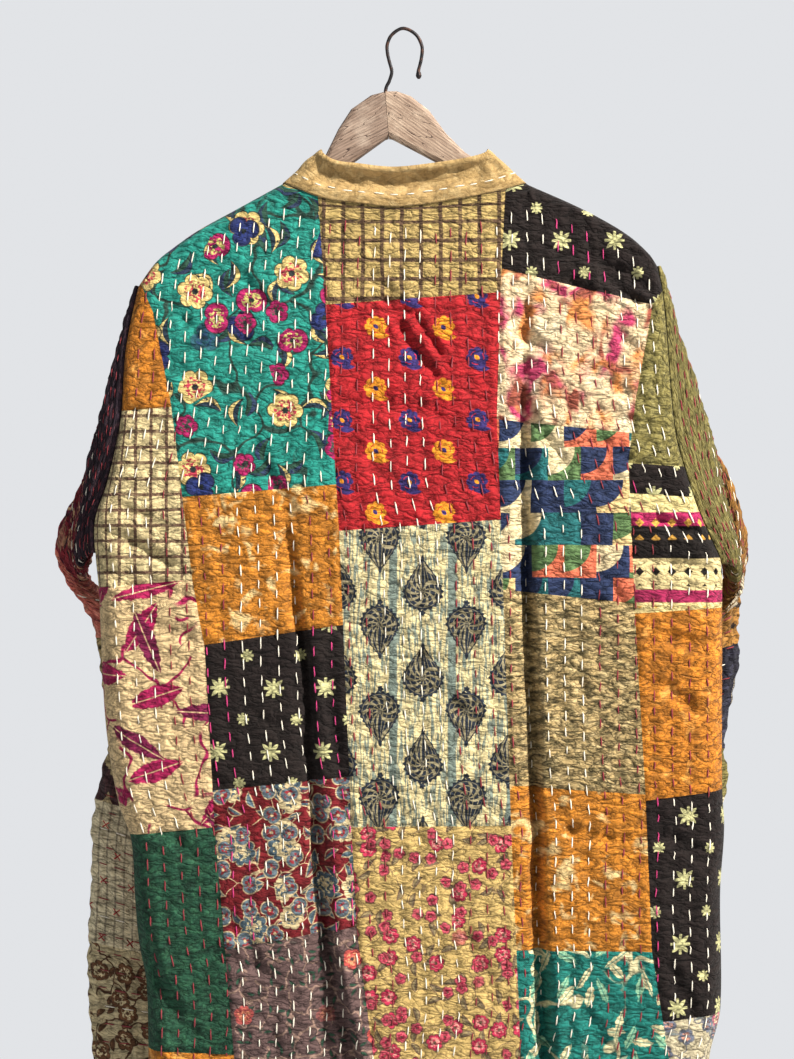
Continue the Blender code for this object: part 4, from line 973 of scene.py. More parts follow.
# Plain thread, twisted along its length.
def threadMaterial(name, colour):
    material = bpy.data.materials.new(name)
    material.use_nodes = True
    tree = material.node_tree
    shader = tree.nodes["Principled BSDF"]
    place = tree.nodes.new("ShaderNodeTexCoord")
    noise = tree.nodes.new("ShaderNodeTexNoise")
    noise.inputs["Scale"].default_value = 900
    noise.inputs["Detail"].default_value = 3
    tree.links.new(place.outputs["Object"], noise.inputs["Vector"])
    ramp = tree.nodes.new("ShaderNodeValToRGB")
    ramp.color_ramp.elements[0].position = .3
    ramp.color_ramp.elements[0].color = tuple(c * .72 for c in colour[:3]) + (1,)
    ramp.color_ramp.elements[1].position = .65
    ramp.color_ramp.elements[1].color = colour
    tree.links.new(noise.outputs["Fac"], ramp.inputs["Fac"])
    tree.links.new(ramp.outputs["Color"], shader.inputs["Base Color"])
    twist = tree.nodes.new("ShaderNodeBump")
    twist.inputs["Strength"].default_value = .5
    twist.inputs["Distance"].default_value = .0003
    tree.links.new(noise.outputs["Fac"], twist.inputs["Height"])
    tree.links.new(twist.outputs["Normal"], shader.inputs["Normal"])
    shader.inputs["Roughness"].default_value = .8
    shader.inputs["Sheen Weight"].default_value = .15
    return material


threads = {
    "white": threadMaterial("whiteThread", linear(240, 232, 214)),
    "red": threadMaterial("redThread", linear(138, 36, 46)),
}


def unit(vectors):
    return vectors / np.maximum(np.linalg.norm(vectors, axis=-1, keepdims=True), 1e-9)


# Each stitch is a short round thread, its two ends sunk in the cloth.
def stitchObject(name, centres, normals, radii, kinds, kindMaterials):
    count, steps, _ = centres.shape
    sides = 5
    along = unit(np.gradient(centres, axis=1))
    across = unit(np.cross(along, normals))
    angles = 2 * math.pi * np.arange(sides) / sides
    swell = np.array([.35, 1.0, 1.0, .35])[None, :, None, None] * radii[:, None, None, None]
    ring = (across[:, :, None, :] * np.cos(angles)[None, None, :, None]
            + normals[:, :, None, :] * np.sin(angles)[None, None, :, None] * .8)
    points = (centres[:, :, None, :] + ring * swell).reshape(-1, 3)
    faces, faceKinds = [], []
    for n in range(count):
        first = n * steps * sides
        for s in range(steps - 1):
            for k in range(sides):
                near, far = first + s * sides, first + (s + 1) * sides
                faces.append((near + k, near + (k + 1) % sides, far + (k + 1) % sides, far + k))
                faceKinds.append(kinds[n])
    mesh = bpy.data.meshes.new(name)
    mesh.from_pydata(points.tolist(), [], faces)
    for material in kindMaterials:
        mesh.materials.append(material)
    mesh.polygons.foreach_set("material_index", np.array(faceKinds, dtype=np.int32))
    mesh.polygons.foreach_set("use_smooth", np.ones(len(faces), dtype=bool))
    mesh.update()
    item = bpy.data.objects.new(name, mesh)
    bpy.context.collection.objects.link(item)
    print(name, "stitches", count)
    return item


stitching = {"pitch": .0150, "length": .0084, "radius": .00058, "lift": .00050}


def panelStitches(name, panel, seams, longs, crosses, layout):
    random = np.random.RandomState(len(name) * 7 + 3)
    rows = stitchRows if panel == "back" else stitchRows // 2
    perRow = stitchRows if panel == "back" else stitchRows / 2
    shareList, lengthList, spanList, rowList = [], [], [], []
    for row in range(1, rows + (panel != "back")):
        share = row / perRow
        if share > .995:
            continue
        topLevel = np.array([0.0])
        top = panelPlace(panel, np.array([share]), topLevel)[1][0]
        rowLength = top - outline["hem"]
        starts = np.arange(.012 + .012 * random.rand(), rowLength - .012, stitching["pitch"])
        starts = starts + random.uniform(-.0012, .0012, len(starts))
        spans = stitching["length"] * random.uniform(.78, 1.16, len(starts))
        lengthList += list(starts / rowLength)
        spanList += list(spans / rowLength)
        shareList += [share] * len(starts)
        rowList += [row] * len(starts)
    share = np.array(shareList)[:, None] + random.uniform(-.0009, .0009, (len(shareList), 1))
    share = share + random.uniform(-.0007, .0007, share.shape) * np.array([-1, -.3, .3, 1])[None, :]
    steps = np.array([0, .22, .78, 1])[None, :]
    lengths = np.clip(np.array(lengthList)[:, None] + np.array(spanList)[:, None] * steps, 0, 1)
    armShare = outline["armholeShare"]
    levels = np.where(lengths < armShare, lengths / armShare, 1 + (lengths - armShare) / (1 - armShare))
    centres, _ = panelSurface(panel, share, levels, None, seams)
    beside, _ = panelSurface(panel, share + .002, levels, None, seams)
    normals = unit(np.cross(np.gradient(centres, axis=1), beside - centres))
    normals *= np.where(normals[..., 1:2] * (-1 if panel == "back" else 1) < 0, -1, 1)
    centres = centres + normals * np.array([-.0002, 1, 1, -.0002])[None, :, None] * stitching["lift"]
    middles = centres.mean(axis=1)
    column, order = printAt(longs, crosses, middles[:, 0] * 1000, -middles[:, 2] * 1000)
    under = np.array([layout[k][n] for k, n in zip(column, order)])
    grouped = (np.array(rowList) // 4) % 2
    kinds = np.where(np.isin(under, ["orangePlain", "darkGreen"]), 1, grouped)
    kinds = np.where(np.isin(under, ["blackStars", "redChintz"]) & (grouped == 1), 2, kinds)
    kinds = np.where(np.isin(under, ["tealChintz", "mauveSpeckle"]), 0, kinds)
    radii = stitching["radius"] * random.uniform(.85, 1.2, len(kinds))
    kindMaterials = [threads["white"], threads["red"], threads["magenta"]]
    return stitchObject(name, centres, normals, radii, kinds, kindMaterials)


threads["magenta"] = threadMaterial("magentaThread", linear(196, 44, 112))

# Sections of the sleeves as in the solids: outer edge, under edge, half depth.
leftSleeve = (
    ((-.2125, .000, -.206), (-.2475, .000, -.421), .0120),
    ((-.2255, .002, -.244), (-.2550, .001, -.424), .0095),
    ((-.2385, .006, -.300), (-.2600, .005, -.429), .0080),
    ((-.2500, .016, -.348), (-.2605, .012, -.434), .0085),
    ((-.2690, .024, -.386), (-.2600, .018, -.439), .0095),
    ((-.2790, .029, -.410), (-.2575, .024, -.445), .0105),
    ((-.2735, .033, -.440), (-.2480, .030, -.452), .0110),
    ((-.2600, .034, -.466), (-.2250, .035, -.473), .0105),
    ((-.2488, .035, -.492), (-.1960, .038, -.508), .0100),
    ((-.2448, .036, -.524), (-.1680, .040, -.552), .0095),
    ((-.2390, .037, -.572), (-.1460, .040, -.606), .0095),
    ((-.2470, .037, -.612), (-.1350, .040, -.648), .0095),
    ((-.2525, .037, -.650), (-.1290, .040, -.690), .0095),
    ((-.2540, .037, -.700), (-.1250, .040, -.735), .0095),
    ((-.2560, .037, -.760), (-.1240, .040, -.786), .0095),
    ((-.2550, .037, -.805), (-.1240, .040, -.818), .0095),
    ((-.2505, .037, -.846), (-.1240, .040, -.846), .0095),
)
rightSleeve = (
    ((.2045, .000, -.190), (.2560, .000, -.430), .0120),
    ((.2165, .002, -.226), (.2645, .001, -.432), .0095),
    ((.2280, .006, -.272), (.2690, .005, -.437), .0080),
    ((.2385, .015, -.318), (.2690, .012, -.443), .0085),
    ((.2590, .022, -.355), (.2690, .017, -.447), .0090),
    ((.2700, .026, -.384), (.2685, .021, -.452), .0090),
    ((.2745, .029, -.412), (.2655, .025, -.458), .0090),
    ((.2745, .032, -.444), (.2570, .029, -.468), .0095),
    ((.2735, .033, -.460), (.2490, .031, -.477), .0095),
    ((.2725, .034, -.476), (.2360, .033, -.489), .0100),
    ((.2740, .034, -.504), (.2080, .037, -.520), .0100),
    ((.2670, .035, -.542), (.1790, .040, -.568), .0095),
    ((.2615, .036, -.578), (.1580, .040, -.612), .0095),
    ((.2645, .037, -.604), (.1460, .040, -.645), .0095),
    ((.2580, .037, -.644), (.1360, .040, -.690), .0095),
    ((.2500, .037, -.706), (.1270, .040, -.745), .0095),
    ((.2480, .037, -.780), (.1240, .040, -.800), .0095),
    ((.2460, .037, -.846), (.1240, .040, -.846), .0095),
)
sleeves = {
    "sleeveLeft": {
        "sections": leftSleeve, "sign": -1,
        "patches": ((-.322, "purpleBlack"), (-.408, "redFloral"), (-.490, "coralPlain"),
                    (-.578, "khakiMottled"),
                    (-.622, "darkPaisley"), (-.738, "ticking"), (-.9, "scrolls")),
    },
    "sleeveRight": {
        "sections": rightSleeve, "sign": 1,
        "patches": ((-.322, "oliveMottled"), (-.494, "ochreSprigs"), (-.581, "navyPlain"),
                    (-.621, "oliveMottled"),
                    (-.680, "greyFloral"), (-.742, "redFloral"), (-.800, "coralPlain"), (-.9, "ticking")),
    },
}


# The rings of a sleeve, each as many points round its line.
def sleeveRings(settings, around):
    sections, sign = settings["sections"], settings["sign"]
    share = .5 - .5 * np.cos(2 * math.pi * around)
    half = np.where(around < .5, 1.0, -1.0)
    first = sections[0]
    side = "left" if sign < 0 else "right"
    rings = []
    for i, (outer, under, depth) in enumerate(sections):
        facing = Vector((0, -1, 0))
        if i:
            before, after = sections[i - 1], sections[min(i + 1, len(sections) - 1)]
            run = Vector(after[0]) + Vector(after[1]) - Vector(before[0]) - Vector(before[1])
            facing = run.cross(Vector(under) - Vector(outer)) * -sign
            if i == len(sections) - 1:
                facing.z = 0
            if i < 3:
                facing = Vector((0, -1, 0)).lerp(facing.normalized(), i / 3)
            facing.normalize()
        line = np.array(outer) + (np.array(under) - np.array(outer)) * share[:, None]
        ring = line + np.array(facing) * (half * depth * ringShare(2 * share - 1, 2.2))[:, None]
        if i < 3:
            straight = first[0][0] + (first[1][0] - first[0][0]) * share
            heights = first[0][2] + (first[1][2] - first[0][2]) * share
            seam = throughRows(outline[side + "Heights"], outline[side + "Across"], heights)
            ring[:, 0] += (seam - straight) * (1.0, .6, .25)[i]
        ring[:, 0] += sign * seamGap
        rings.append(ring)
    rings.insert(1, rings[0] + np.array([sign * .003, 0, 0]))
    return np.array(rings)


def sleeveRelief(round, down, rowCoord, seed):
    between = np.sin(math.pi * rowCoord) ** 2
    rowTable = np.random.RandomState(seed).rand(256)
    rowIndex = np.floor(rowCoord).astype(int) % 256
    wander = softNoise(round, down, 30, seed)
    ripple = np.sin(2 * math.pi * (round / (9 + 2 * rowTable[rowIndex]) + rowTable[rowIndex] + 1.5 * wander))
    total = between * (.8 + .7 * ripple) + .35 * ripple
    hills = 3.4 * (softNoise(round, down, 34, seed + 1) - .5)
    total += hills + 1.8 * (softNoise(round, down, 14, seed + 2) - .5)
    ridged = 1 - np.abs(2 * softNoise(round * .5, down, 22, seed + 4) - 1)
    total -= 1.6 * np.clip(ridged - .80, 0, 1) / .20
    return total


def buildSleeve(name, settings, roundCount=120, downCount=190):
    sign = settings["sign"]
    seed = 61 if sign < 0 else 83
    around = np.arange(roundCount) / roundCount
    rings = sleeveRings(settings, around)
    middles = rings.mean(axis=1)
    outerEdge = rings[:, 0]
    stepLengths = np.linalg.norm(np.diff(.5 * (middles + outerEdge), axis=0), axis=1)
    lengths = np.concatenate([[0], np.cumsum(stepLengths)])
    borders = []
    for height, _ in settings["patches"][:-1]:
        borders.append(float(np.interp(-height, -outerEdge[:, 2], lengths)))
    rows = np.array(sorted(list(np.linspace(0, lengths[-1], downCount)) + borders + [.001, .002]))
    flat = rings.reshape(len(rings), -1)
    grid = np.stack([throughRows(lengths, flat[:, k], rows) for k in range(flat.shape[1])], axis=1)
    grid = grid.reshape(len(rows), roundCount, 3)
    alongWay = np.gradient(grid, axis=0)
    roundWay = np.roll(grid, -1, axis=1) - np.roll(grid, 1, axis=1)
    normals = unit(np.cross(roundWay, alongWay))
    outwards = -1 if (normals * (grid - grid.mean(axis=1, keepdims=True))).sum() < 0 else 1
    normals = normals * outwards
    steps = np.linalg.norm(np.roll(grid, -1, axis=1) - grid, axis=2)
    arc = np.concatenate([np.zeros((len(rows), 1)), np.cumsum(steps, axis=1)[:, :-1]], axis=1) * 1000
    down = np.repeat(rows[:, None] * 1000, roundCount, axis=1)
    rowCoord = down / 14.0
    fade = np.clip(rows / .012, 0, 1)[:, None] * np.clip((lengths[-1] - rows) / .006, 0, 1)[:, None]
    bumps = sleeveRelief(arc, down, rowCoord, seed) * fade
    cloth = grid + normals * (bumps * mm)[..., None]
    prints = np.stack([arc, down, rowCoord], axis=-1)
    # One more column at the end, so that the print closes at the sleeve's outer fold.
    lastArc = arc[:, -1:] + steps[:, -1:] * 1000
    cloth = np.concatenate([cloth, cloth[:, :1]], axis=1)
    prints = np.concatenate([prints, np.stack([lastArc, down[:, :1], rowCoord[:, :1]], axis=-1)], axis=1)
    wide = roundCount + 1
    names = sorted({item for _, item in settings["patches"]})
    faces, kinds = [], []
    limits = np.array(borders)
    for r in range(len(rows) - 1):
        middle = (rows[r] + rows[r + 1]) / 2
        kind = names.index(settings["patches"][int((middle > limits).sum())][1])
        for c in range(roundCount):
            corner = r * wide + c
            ring = (corner, corner + wide, corner + wide + 1, corner + 1)
            faces.append(ring[::-1] if outwards > 0 else ring)
            kinds.append(kind)
    materials = [printMaterials[item] for item in names] + [printMaterials["plainLining"]]
    item = meshFrom(name, cloth.reshape(-1, 3), faces, prints.reshape(-1, 3), materials, kinds)
    addWall(item)
    # Rows of stitches across the sleeve.
    random = np.random.RandomState(seed)
    centres, normalList, stitchKinds = [], [], []
    for row in range(1, int(lengths[-1] * 1000 / 14.0) + 1):
        at = row * .014
        if at > lengths[-1] - .008:
            continue
        r = int(np.clip(np.searchsorted(rows, at), 1, len(rows) - 2))
        share = (at - rows[r - 1]) / max(rows[r] - rows[r - 1], 1e-9)
        line = cloth[r - 1] * (1 - share) + cloth[r] * share
        lineNormals = np.concatenate([normals[r], normals[r][:1]])
        length = np.concatenate([[0], np.cumsum(np.linalg.norm(np.diff(line, axis=0), axis=1))])
        for start in np.arange(.006 + .01 * random.rand(), length[-1] - .012, stitching["pitch"]):
            places = start + stitching["length"] * np.array([0, .22, .78, 1]) * random.uniform(.8, 1.15)
            places = places + random.uniform(-.001, .001)
            centre = np.stack([np.interp(places, length, line[:, k]) for k in range(3)], axis=1)
            normal = unit(np.stack([np.interp(places, length, lineNormals[:, k]) for k in range(3)], axis=1))
            centres.append(centre + normal * np.array([-.0002, 1, 1, -.0002])[:, None] * stitching["lift"])
            normalList.append(normal)
            stitchKinds.append(0 if row % 5 == 0 else 1)
    radii = .8 * stitching["radius"] * random.uniform(.85, 1.2, len(centres))
    kindMaterials = [threads["white"], threads["red"], threads["magenta"]]
    thread = stitchObject(name + "Stitches", np.array(centres), np.array(normalList), radii,
                          stitchKinds, kindMaterials)
    print(name, "rows", len(rows))
    return item, thread, cloth


collar = {
    "riseBack": .032, "riseFront": .036, "riseSide": .027, "lean": .31, "slump": .003,
    "wall": .0019, "columns": 320, "outerRows": 20, "innerRows": 10,
}


# The line where the band meets the body, from the left front edge round the back to the right one.
def collarSeam(count):
    centre, half = outline["neckCentre"], outline["neckHalfWidth"]
    frontEdgeU = .004 / half
    turn = np.linspace(math.acos(frontEdgeU), 0, 900)
    frontU = np.cos(turn)
    backU = -np.cos(np.linspace(0, math.pi, 1800))
    parts = []
    for u, side in ((-frontU, "front"), (backU, "back"), (frontU[::-1], "front")):
        x = centre + half * np.clip(u, -1, 1)
        depth = rimDepth(x, outline["neckDepthBack" if side == "back" else "neckDepthFront"])
        height = topHeight(np.clip(x, centre - half + 1e-7, centre + half - 1e-7), side)
        parts.append(np.stack([x, depth * (-1 if side == "back" else 1), height], axis=1))
    path = np.concatenate(parts)
    length = np.concatenate([[0], np.cumsum(np.linalg.norm(np.diff(path, axis=0), axis=1))])
    even = np.linspace(0, length[-1], count)
    return np.stack([np.interp(even, length, path[:, k]) for k in range(3)], axis=1), even


def buildCollar():
    seam, length = collarSeam(collar["columns"])
    centre = outline["neckCentre"]
    along = np.gradient(seam, axis=0)
    flatWay = along.copy()
    flatWay[:, 2] = 0
    lift = seamGap * (np.linalg.norm(along, axis=1) / np.linalg.norm(flatWay, axis=1)) ** 4
    out = unit(np.stack([flatWay[:, 1], -flatWay[:, 0], np.zeros(len(seam))], axis=1))
    out *= np.where((out[:, 0] * (seam[:, 0] - centre) + out[:, 1] * seam[:, 1]) < 0, -1, 1)[:, None]
    sideways = np.minimum(np.abs(neckAlong(seam[:, 0])), 1)
    isBack = seam[:, 1] < 0
    middleRise = np.where(isBack, collar["riseBack"], collar["riseFront"])
    rise = middleRise + (collar["riseSide"] - middleRise) * sideways ** 2
    arc = length * 1000
    # The profile: up the outside, over the rolled edge and down the inside.
    outerShares = np.linspace(0, .965, collar["outerRows"])
    innerShares = np.linspace(.965, .02, collar["innerRows"])
    profile = [(share, 0.0, 0.0) for share in outerShares]
    profile += [(1.0, .25, 0.0), (1.02, .5, 0.0), (1.0, .75, 0.0)]
    profile += [(share, 1.0, 0.0) for share in innerShares]
    rowsOut, printRows = [], []
    for share, inward, _ in profile:
        bounded = min(share, 1.0)
        slump = collar["slump"] * math.sin(math.pi * bounded) * (1 - sideways ** 4)
        lean = 1 - collar["lean"] * bounded * sideways ** 2
        x = centre + (seam[:, 0] - centre) * lean
        y = seam[:, 1] - np.sign(seam[:, 1]) * slump * (np.abs(seam[:, 1]) > .001)
        z = seam[:, 2] + lift + rise * share
        # The back of the band has sunk into soft folds between its rolled edge and its lower part.
        sag = np.where(isBack, 1.0, .5) * (1 - sideways ** 6)
        wave = softNoise(arc, np.zeros_like(arc), 38, 7)
        wave2 = softNoise(arc, np.full_like(arc, share * 14), 11, 8)
        hollow = math.exp(-((bounded - .61) / .21) ** 4)
        band = math.exp(-((bounded - .22) / .16) ** 2)
        edge = math.exp(-((bounded - .92) / .10) ** 2)
        folds = np.sin(arc / 5.2 + 5 * wave + bounded * 3.2) * .55 + np.sin(arc / 2.9 + 7 * wave) * .22
        sunk = np.clip(1 - sideways ** 2, 0, 1) ** 1.5
        bump = sag * (-4.0 * hollow * sunk * (.75 + .5 * wave) + 3.2 * band + 4.2 * edge * (.6 + .8 * wave))
        bump += (folds * 1.4 + 3.2 * (wave2 - .5)) * math.sin(math.pi * min(bounded, .97)) * (.25 + hollow)
        bump += .45 * edge * np.sin(arc / 8.0 + 4 * wave)
        droop = sag * edge * 4.2 * (softNoise(arc, np.zeros_like(arc), 55, 9) - .5)
        point = np.stack([x, y, z + droop * mm], axis=1)
        point += out * (bump * mm)[:, None] - out * (collar["wall"] * inward)
        rowsOut.append(point)
        printRows.append(np.stack([arc, np.full_like(arc, -share * 34 + inward * 3),
                                   np.full_like(arc, .5)], axis=1))
    grid = np.array(rowsOut)
    count = len(seam)
    faces = []
    for r in range(len(profile) - 1):
        for c in range(count - 1):
            corner = r * count + c
            faces.append((corner, corner + count, corner + count + 1, corner + 1))
    bottom = len(profile) - 1
    for c in range(count - 1):
        faces.append((bottom * count + c, c, c + 1, bottom * count + c + 1))
    faces.append(tuple(r * count for r in range(len(profile))))
    faces.append(tuple(r * count + count - 1 for r in reversed(range(len(profile)))))
    item = meshFrom("collarBand", grid.reshape(-1, 3), faces, np.array(printRows).reshape(-1, 3),
                    [printMaterials["tanCollar"]], [0] * len(faces))
    check = bmesh.new()
    check.from_mesh(item.data)
    bmesh.ops.recalc_face_normals(check, faces=check.faces[:])
    check.to_mesh(item.data)
    check.free()
    # One line of white stitches near the lower edge.
    random = np.random.RandomState(5)
    row = 6
    line = grid[row]
    centres, normals = [], []
    for start in np.arange(.006, length[-1] - .012, .0132):
        places = start + .0078 * np.array([0, .22, .78, 1]) * random.uniform(.8, 1.12)
        centre = np.stack([np.interp(places, length, line[:, k]) for k in range(3)], axis=1)
        normal = np.stack([np.interp(places, length, out[:, k]) for k in range(3)], axis=1)
        centre[:, 2] += random.uniform(-.0006, .0006)
        centres.append(centre + normal * np.array([-.0004, 1, 1, -.0004])[:, None] * .0004)
        normals.append(unit(normal))
    kinds = [0] * len(centres)
    thread = stitchObject("collarStitches", np.array(centres), np.array(normals),
                          np.full(len(centres), .00052), kinds, [threads["white"]])
    return item, thread


# Old bare wood: long grain, a few cracks and pale dry patches.
def woodMaterial(name, light, dark, crackShift):
    material = bpy.data.materials.new(name)
    material.use_nodes = True
    tree = material.node_tree
    shader = tree.nodes["Principled BSDF"]

    def add(kind, **settings):
        made = tree.nodes.new(kind)
        for key, value in settings.items():
            if hasattr(made, key):
                setattr(made, key, value)
            elif isinstance(value, bpy.types.NodeSocket):
                tree.links.new(value, made.inputs[key])
            else:
                made.inputs[key].default_value = value
        return made

    place = add("ShaderNodeTexCoord").outputs["Object"]
    turned = add("ShaderNodeMapping", vector_type="TEXTURE", Vector=place,
                 Rotation=(0, crackShift["turn"], 0), Scale=(1, .25, .11))
    grain = add("ShaderNodeTexNoise", Vector=turned.outputs[0], Scale=55, Detail=8,
                Roughness=.65, Distortion=.7)
    streaks = add("ShaderNodeTexWave", Vector=turned.outputs[0], Scale=16, Distortion=5, Detail=4,
                  bands_direction="Z")
    patches = add("ShaderNodeTexNoise", Vector=place, Scale=45, Detail=5, Roughness=.65)
    ramp = add("ShaderNodeValToRGB", Fac=grain.outputs["Fac"])
    ramp.color_ramp.elements[0].position = .32
    ramp.color_ramp.elements[0].color = dark
    ramp.color_ramp.elements[1].position = .68
    ramp.color_ramp.elements[1].color = light
    lined = add("ShaderNodeMix", data_type="RGBA", blend_type="MULTIPLY")
    lined.inputs[0].default_value = .35
    tree.links.new(ramp.outputs["Color"], lined.inputs[6])
    tree.links.new(streaks.outputs["Color"], lined.inputs[7])
    worn = add("ShaderNodeMapRange", Value=patches.outputs["Fac"])
    for socket, value in (("From Min", .50), ("From Max", .72), ("To Min", 0.0), ("To Max", .55)):
        worn.inputs[socket].default_value = value
    greyed = add("ShaderNodeMix", data_type="RGBA")
    tree.links.new(worn.outputs[0], greyed.inputs[0])
    tree.links.new(lined.outputs[2], greyed.inputs[6])
    greyed.inputs[7].default_value = linear(*crackShift["dry"])
    crackPlace = add("ShaderNodeMapping", vector_type="TEXTURE", Vector=place,
                     Rotation=(0, crackShift["turn"], 0), Scale=(1, 1, .17))
    cracks = add("ShaderNodeTexNoise", Vector=crackPlace.outputs[0], Scale=26, Detail=2, Roughness=.4)
    away = add("ShaderNodeMath", operation="SUBTRACT")
    tree.links.new(cracks.outputs["Fac"], away.inputs[0])
    away.inputs[1].default_value = crackShift["level"]
    size = add("ShaderNodeMath", operation="ABSOLUTE")
    tree.links.new(away.outputs[0], size.inputs[0])
    thin = add("ShaderNodeMapRange", Value=size.outputs[0])
    for socket, value in (("From Min", .003), ("From Max", .009), ("To Min", 1.0), ("To Max", 0.0)):
        thin.inputs[socket].default_value = value
    cracked = add("ShaderNodeMix", data_type="RGBA")
    tree.links.new(thin.outputs[0], cracked.inputs[0])
    tree.links.new(greyed.outputs[2], cracked.inputs[6])
    cracked.inputs[7].default_value = linear(58, 38, 30)
    tree.links.new(cracked.outputs[2], shader.inputs["Base Color"])
    relief = add("ShaderNodeMath", operation="MULTIPLY_ADD")
    tree.links.new(thin.outputs[0], relief.inputs[0])
    relief.inputs[1].default_value = -1.2
    tree.links.new(grain.outputs["Fac"], relief.inputs[2])
    bump = add("ShaderNodeBump", Strength=.6, Distance=.0008, Height=relief.outputs[0])
    tree.links.new(bump.outputs[0], shader.inputs["Normal"])
    rough = add("ShaderNodeMapRange", Value=grain.outputs["Fac"])
    rough.inputs["To Min"].default_value = .6
    rough.inputs["To Max"].default_value = .85
    tree.links.new(rough.outputs[0], shader.inputs["Roughness"])
    return material


# Dark wire with thin rust in patches.
def wireMaterial():
    material = bpy.data.materials.new("darkWire")
    material.use_nodes = True
    tree = material.node_tree
    shader = tree.nodes["Principled BSDF"]
    place = tree.nodes.new("ShaderNodeTexCoord")
    noise = tree.nodes.new("ShaderNodeTexNoise")
    noise.inputs["Scale"].default_value = 260
    noise.inputs["Detail"].default_value = 5
    tree.links.new(place.outputs["Object"], noise.inputs["Vector"])
    ramp = tree.nodes.new("ShaderNodeValToRGB")
    ramp.color_ramp.elements[0].position = .46
    ramp.color_ramp.elements[0].color = linear(44, 42, 44)
    ramp.color_ramp.elements[1].position = .66
    ramp.color_ramp.elements[1].color = linear(84, 60, 50)
    tree.links.new(noise.outputs["Fac"], ramp.inputs["Fac"])
    tree.links.new(ramp.outputs["Color"], shader.inputs["Base Color"])
    rough = tree.nodes.new("ShaderNodeMapRange")
    rough.inputs["To Min"].default_value = .38
    rough.inputs["To Max"].default_value = .72
    tree.links.new(noise.outputs["Fac"], rough.inputs["Value"])
    tree.links.new(rough.outputs[0], shader.inputs["Roughness"])
    shader.inputs["Metallic"].default_value = .75
    bump = tree.nodes.new("ShaderNodeBump")
    bump.inputs["Strength"].default_value = .4
    bump.inputs["Distance"].default_value = .0002
    tree.links.new(noise.outputs["Fac"], bump.inputs["Height"])
    tree.links.new(bump.outputs[0], shader.inputs["Normal"])
    return material


# The wire as one smooth tube: across, height and swelling of its points.
wirePath = (
    (-.0140, -.0488, 1.0), (-.0110, -.0410, 1.0), (-.0090, -.0336, 1.0), (-.0108, -.0260, 1.0),
    (-.0124, -.0190, 1.0), (-.0126, -.0115, 1.0), (-.0088, -.0036, 1.0), (.0000, .0014, 1.0),
    (.0100, -.0032, 1.0), (.0152, -.0128, 1.0), (.0148, -.0228, 1.0), (.0126, -.0320, 1.0),
    (.0126, -.0350, 1.5), (.0127, -.0372, 1.6), (.0128, -.0392, .8),
)


def buildHook():
    keys = np.arange(len(wirePath) + 1)
    rows = np.array(((-.0145, -.0700, 1.0),) + wirePath)
    at = np.linspace(0, len(rows) - 1, 150)
    x, z, swell = (throughRows(keys, rows[:, k], at) for k in range(3))
    path = np.stack([x, np.zeros_like(x), z], axis=1)
    along = unit(np.gradient(path, axis=0))
    side = np.stack([along[:, 2], np.zeros_like(x), -along[:, 0]], axis=1)
    sides = 20
    angles = 2 * math.pi * np.arange(sides) / sides
    ring = (side[:, None, :] * np.cos(angles)[None, :, None]
            + np.array([0, 1.0, 0])[None, None, :] * np.sin(angles)[None, :, None])
    wobble = 1 + .02 * np.sin(np.arange(len(x)) * .8)
    points = path[:, None, :] + ring * (.0014 * swell * wobble)[:, None, None]
    faces = []
    for s in range(len(path) - 1):
        for k in range(sides):
            faces.append((s * sides + k, (s + 1) * sides + k,
                          (s + 1) * sides + (k + 1) % sides, s * sides + (k + 1) % sides))
    faces.append(tuple(range(sides)))
    faces.append(tuple((len(path) - 1) * sides + k for k in reversed(range(sides))))
    mesh = bpy.data.meshes.new("wireHook")
    mesh.from_pydata(points.reshape(-1, 3).tolist(), [], faces)
    mesh.materials.append(wireMaterial())
    mesh.polygons.foreach_set("use_smooth", np.ones(len(faces), dtype=bool))
    mesh.update()
    item = bpy.data.objects.new("wireHook", mesh)
    bpy.context.collection.objects.link(item)
    return item


# Dried glue in the boards' joint: one thin uneven strip near each face, clear of the wire between them.
glue = {"top": (-.0144, -.0503), "foot": (-.0115, -.0858), "depths": (.0032, .0057),
        "halfWidth": .00012, "steps": 24}


def buildGlue():
    random = np.random.RandomState(8)
    points, faces = [], []
    for side in (-1, 1):
        first = len(points)
        for step in range(glue["steps"] + 1):
            share = step / glue["steps"]
            x, z = (a + (b - a) * share for a, b in zip(glue["top"], glue["foot"]))
            outer = glue["depths"][1] - .0003 * random.rand()
            for across, depth in ((-1, outer), (1, outer), (1, glue["depths"][0]), (-1, glue["depths"][0])):
                points.append((x + across * glue["halfWidth"], side * depth, z))
        for step in range(glue["steps"]):
            for k in range(4):
                low = first + step * 4
                faces.append((low + k, low + (k + 1) % 4, low + 4 + (k + 1) % 4, low + 4 + k))
        faces.append((first + 3, first + 2, first + 1, first))
        last = first + glue["steps"] * 4
        faces.append((last, last + 1, last + 2, last + 3))
    prints = np.array(points) * 1000
    look = mottled("driedGlue", [(84, 62, 50), (54, 38, 32)], 6, crinkle=.2)
    return meshFrom("gluedJoint", np.array(points), faces, prints, [look], [0] * len(faces))


def place(item, slot, *nodes):
    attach(item, "root")
    if nodes:
        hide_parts(*nodes)


print("back")
back, backSeams = buildPanel("backCloth", "back", 166, 256, backPrints, longSeams, crossSeams)
backThread = panelStitches("backStitches", "back", backSeams, longSeams, crossSeams, backPrints)
place(back, "patchwork_cotton", "back")
place(backThread, "patchwork_cotton")

for frontName, nodeName in (("frontLeft", "front_left"), ("frontRight", "front_right")):
    print(frontName)
    plan = frontSeams[frontName]
    cloth, seams = buildPanel(frontName + "Cloth", frontName, 82, 256,
                              plan["prints"], plan["longSeams"], plan["crossSeams"])
    thread = panelStitches(frontName + "Stitches", frontName, seams,
                           plan["longSeams"], plan["crossSeams"], plan["prints"])
    place(cloth, "patchwork_cotton", nodeName)
    place(thread, "patchwork_cotton")

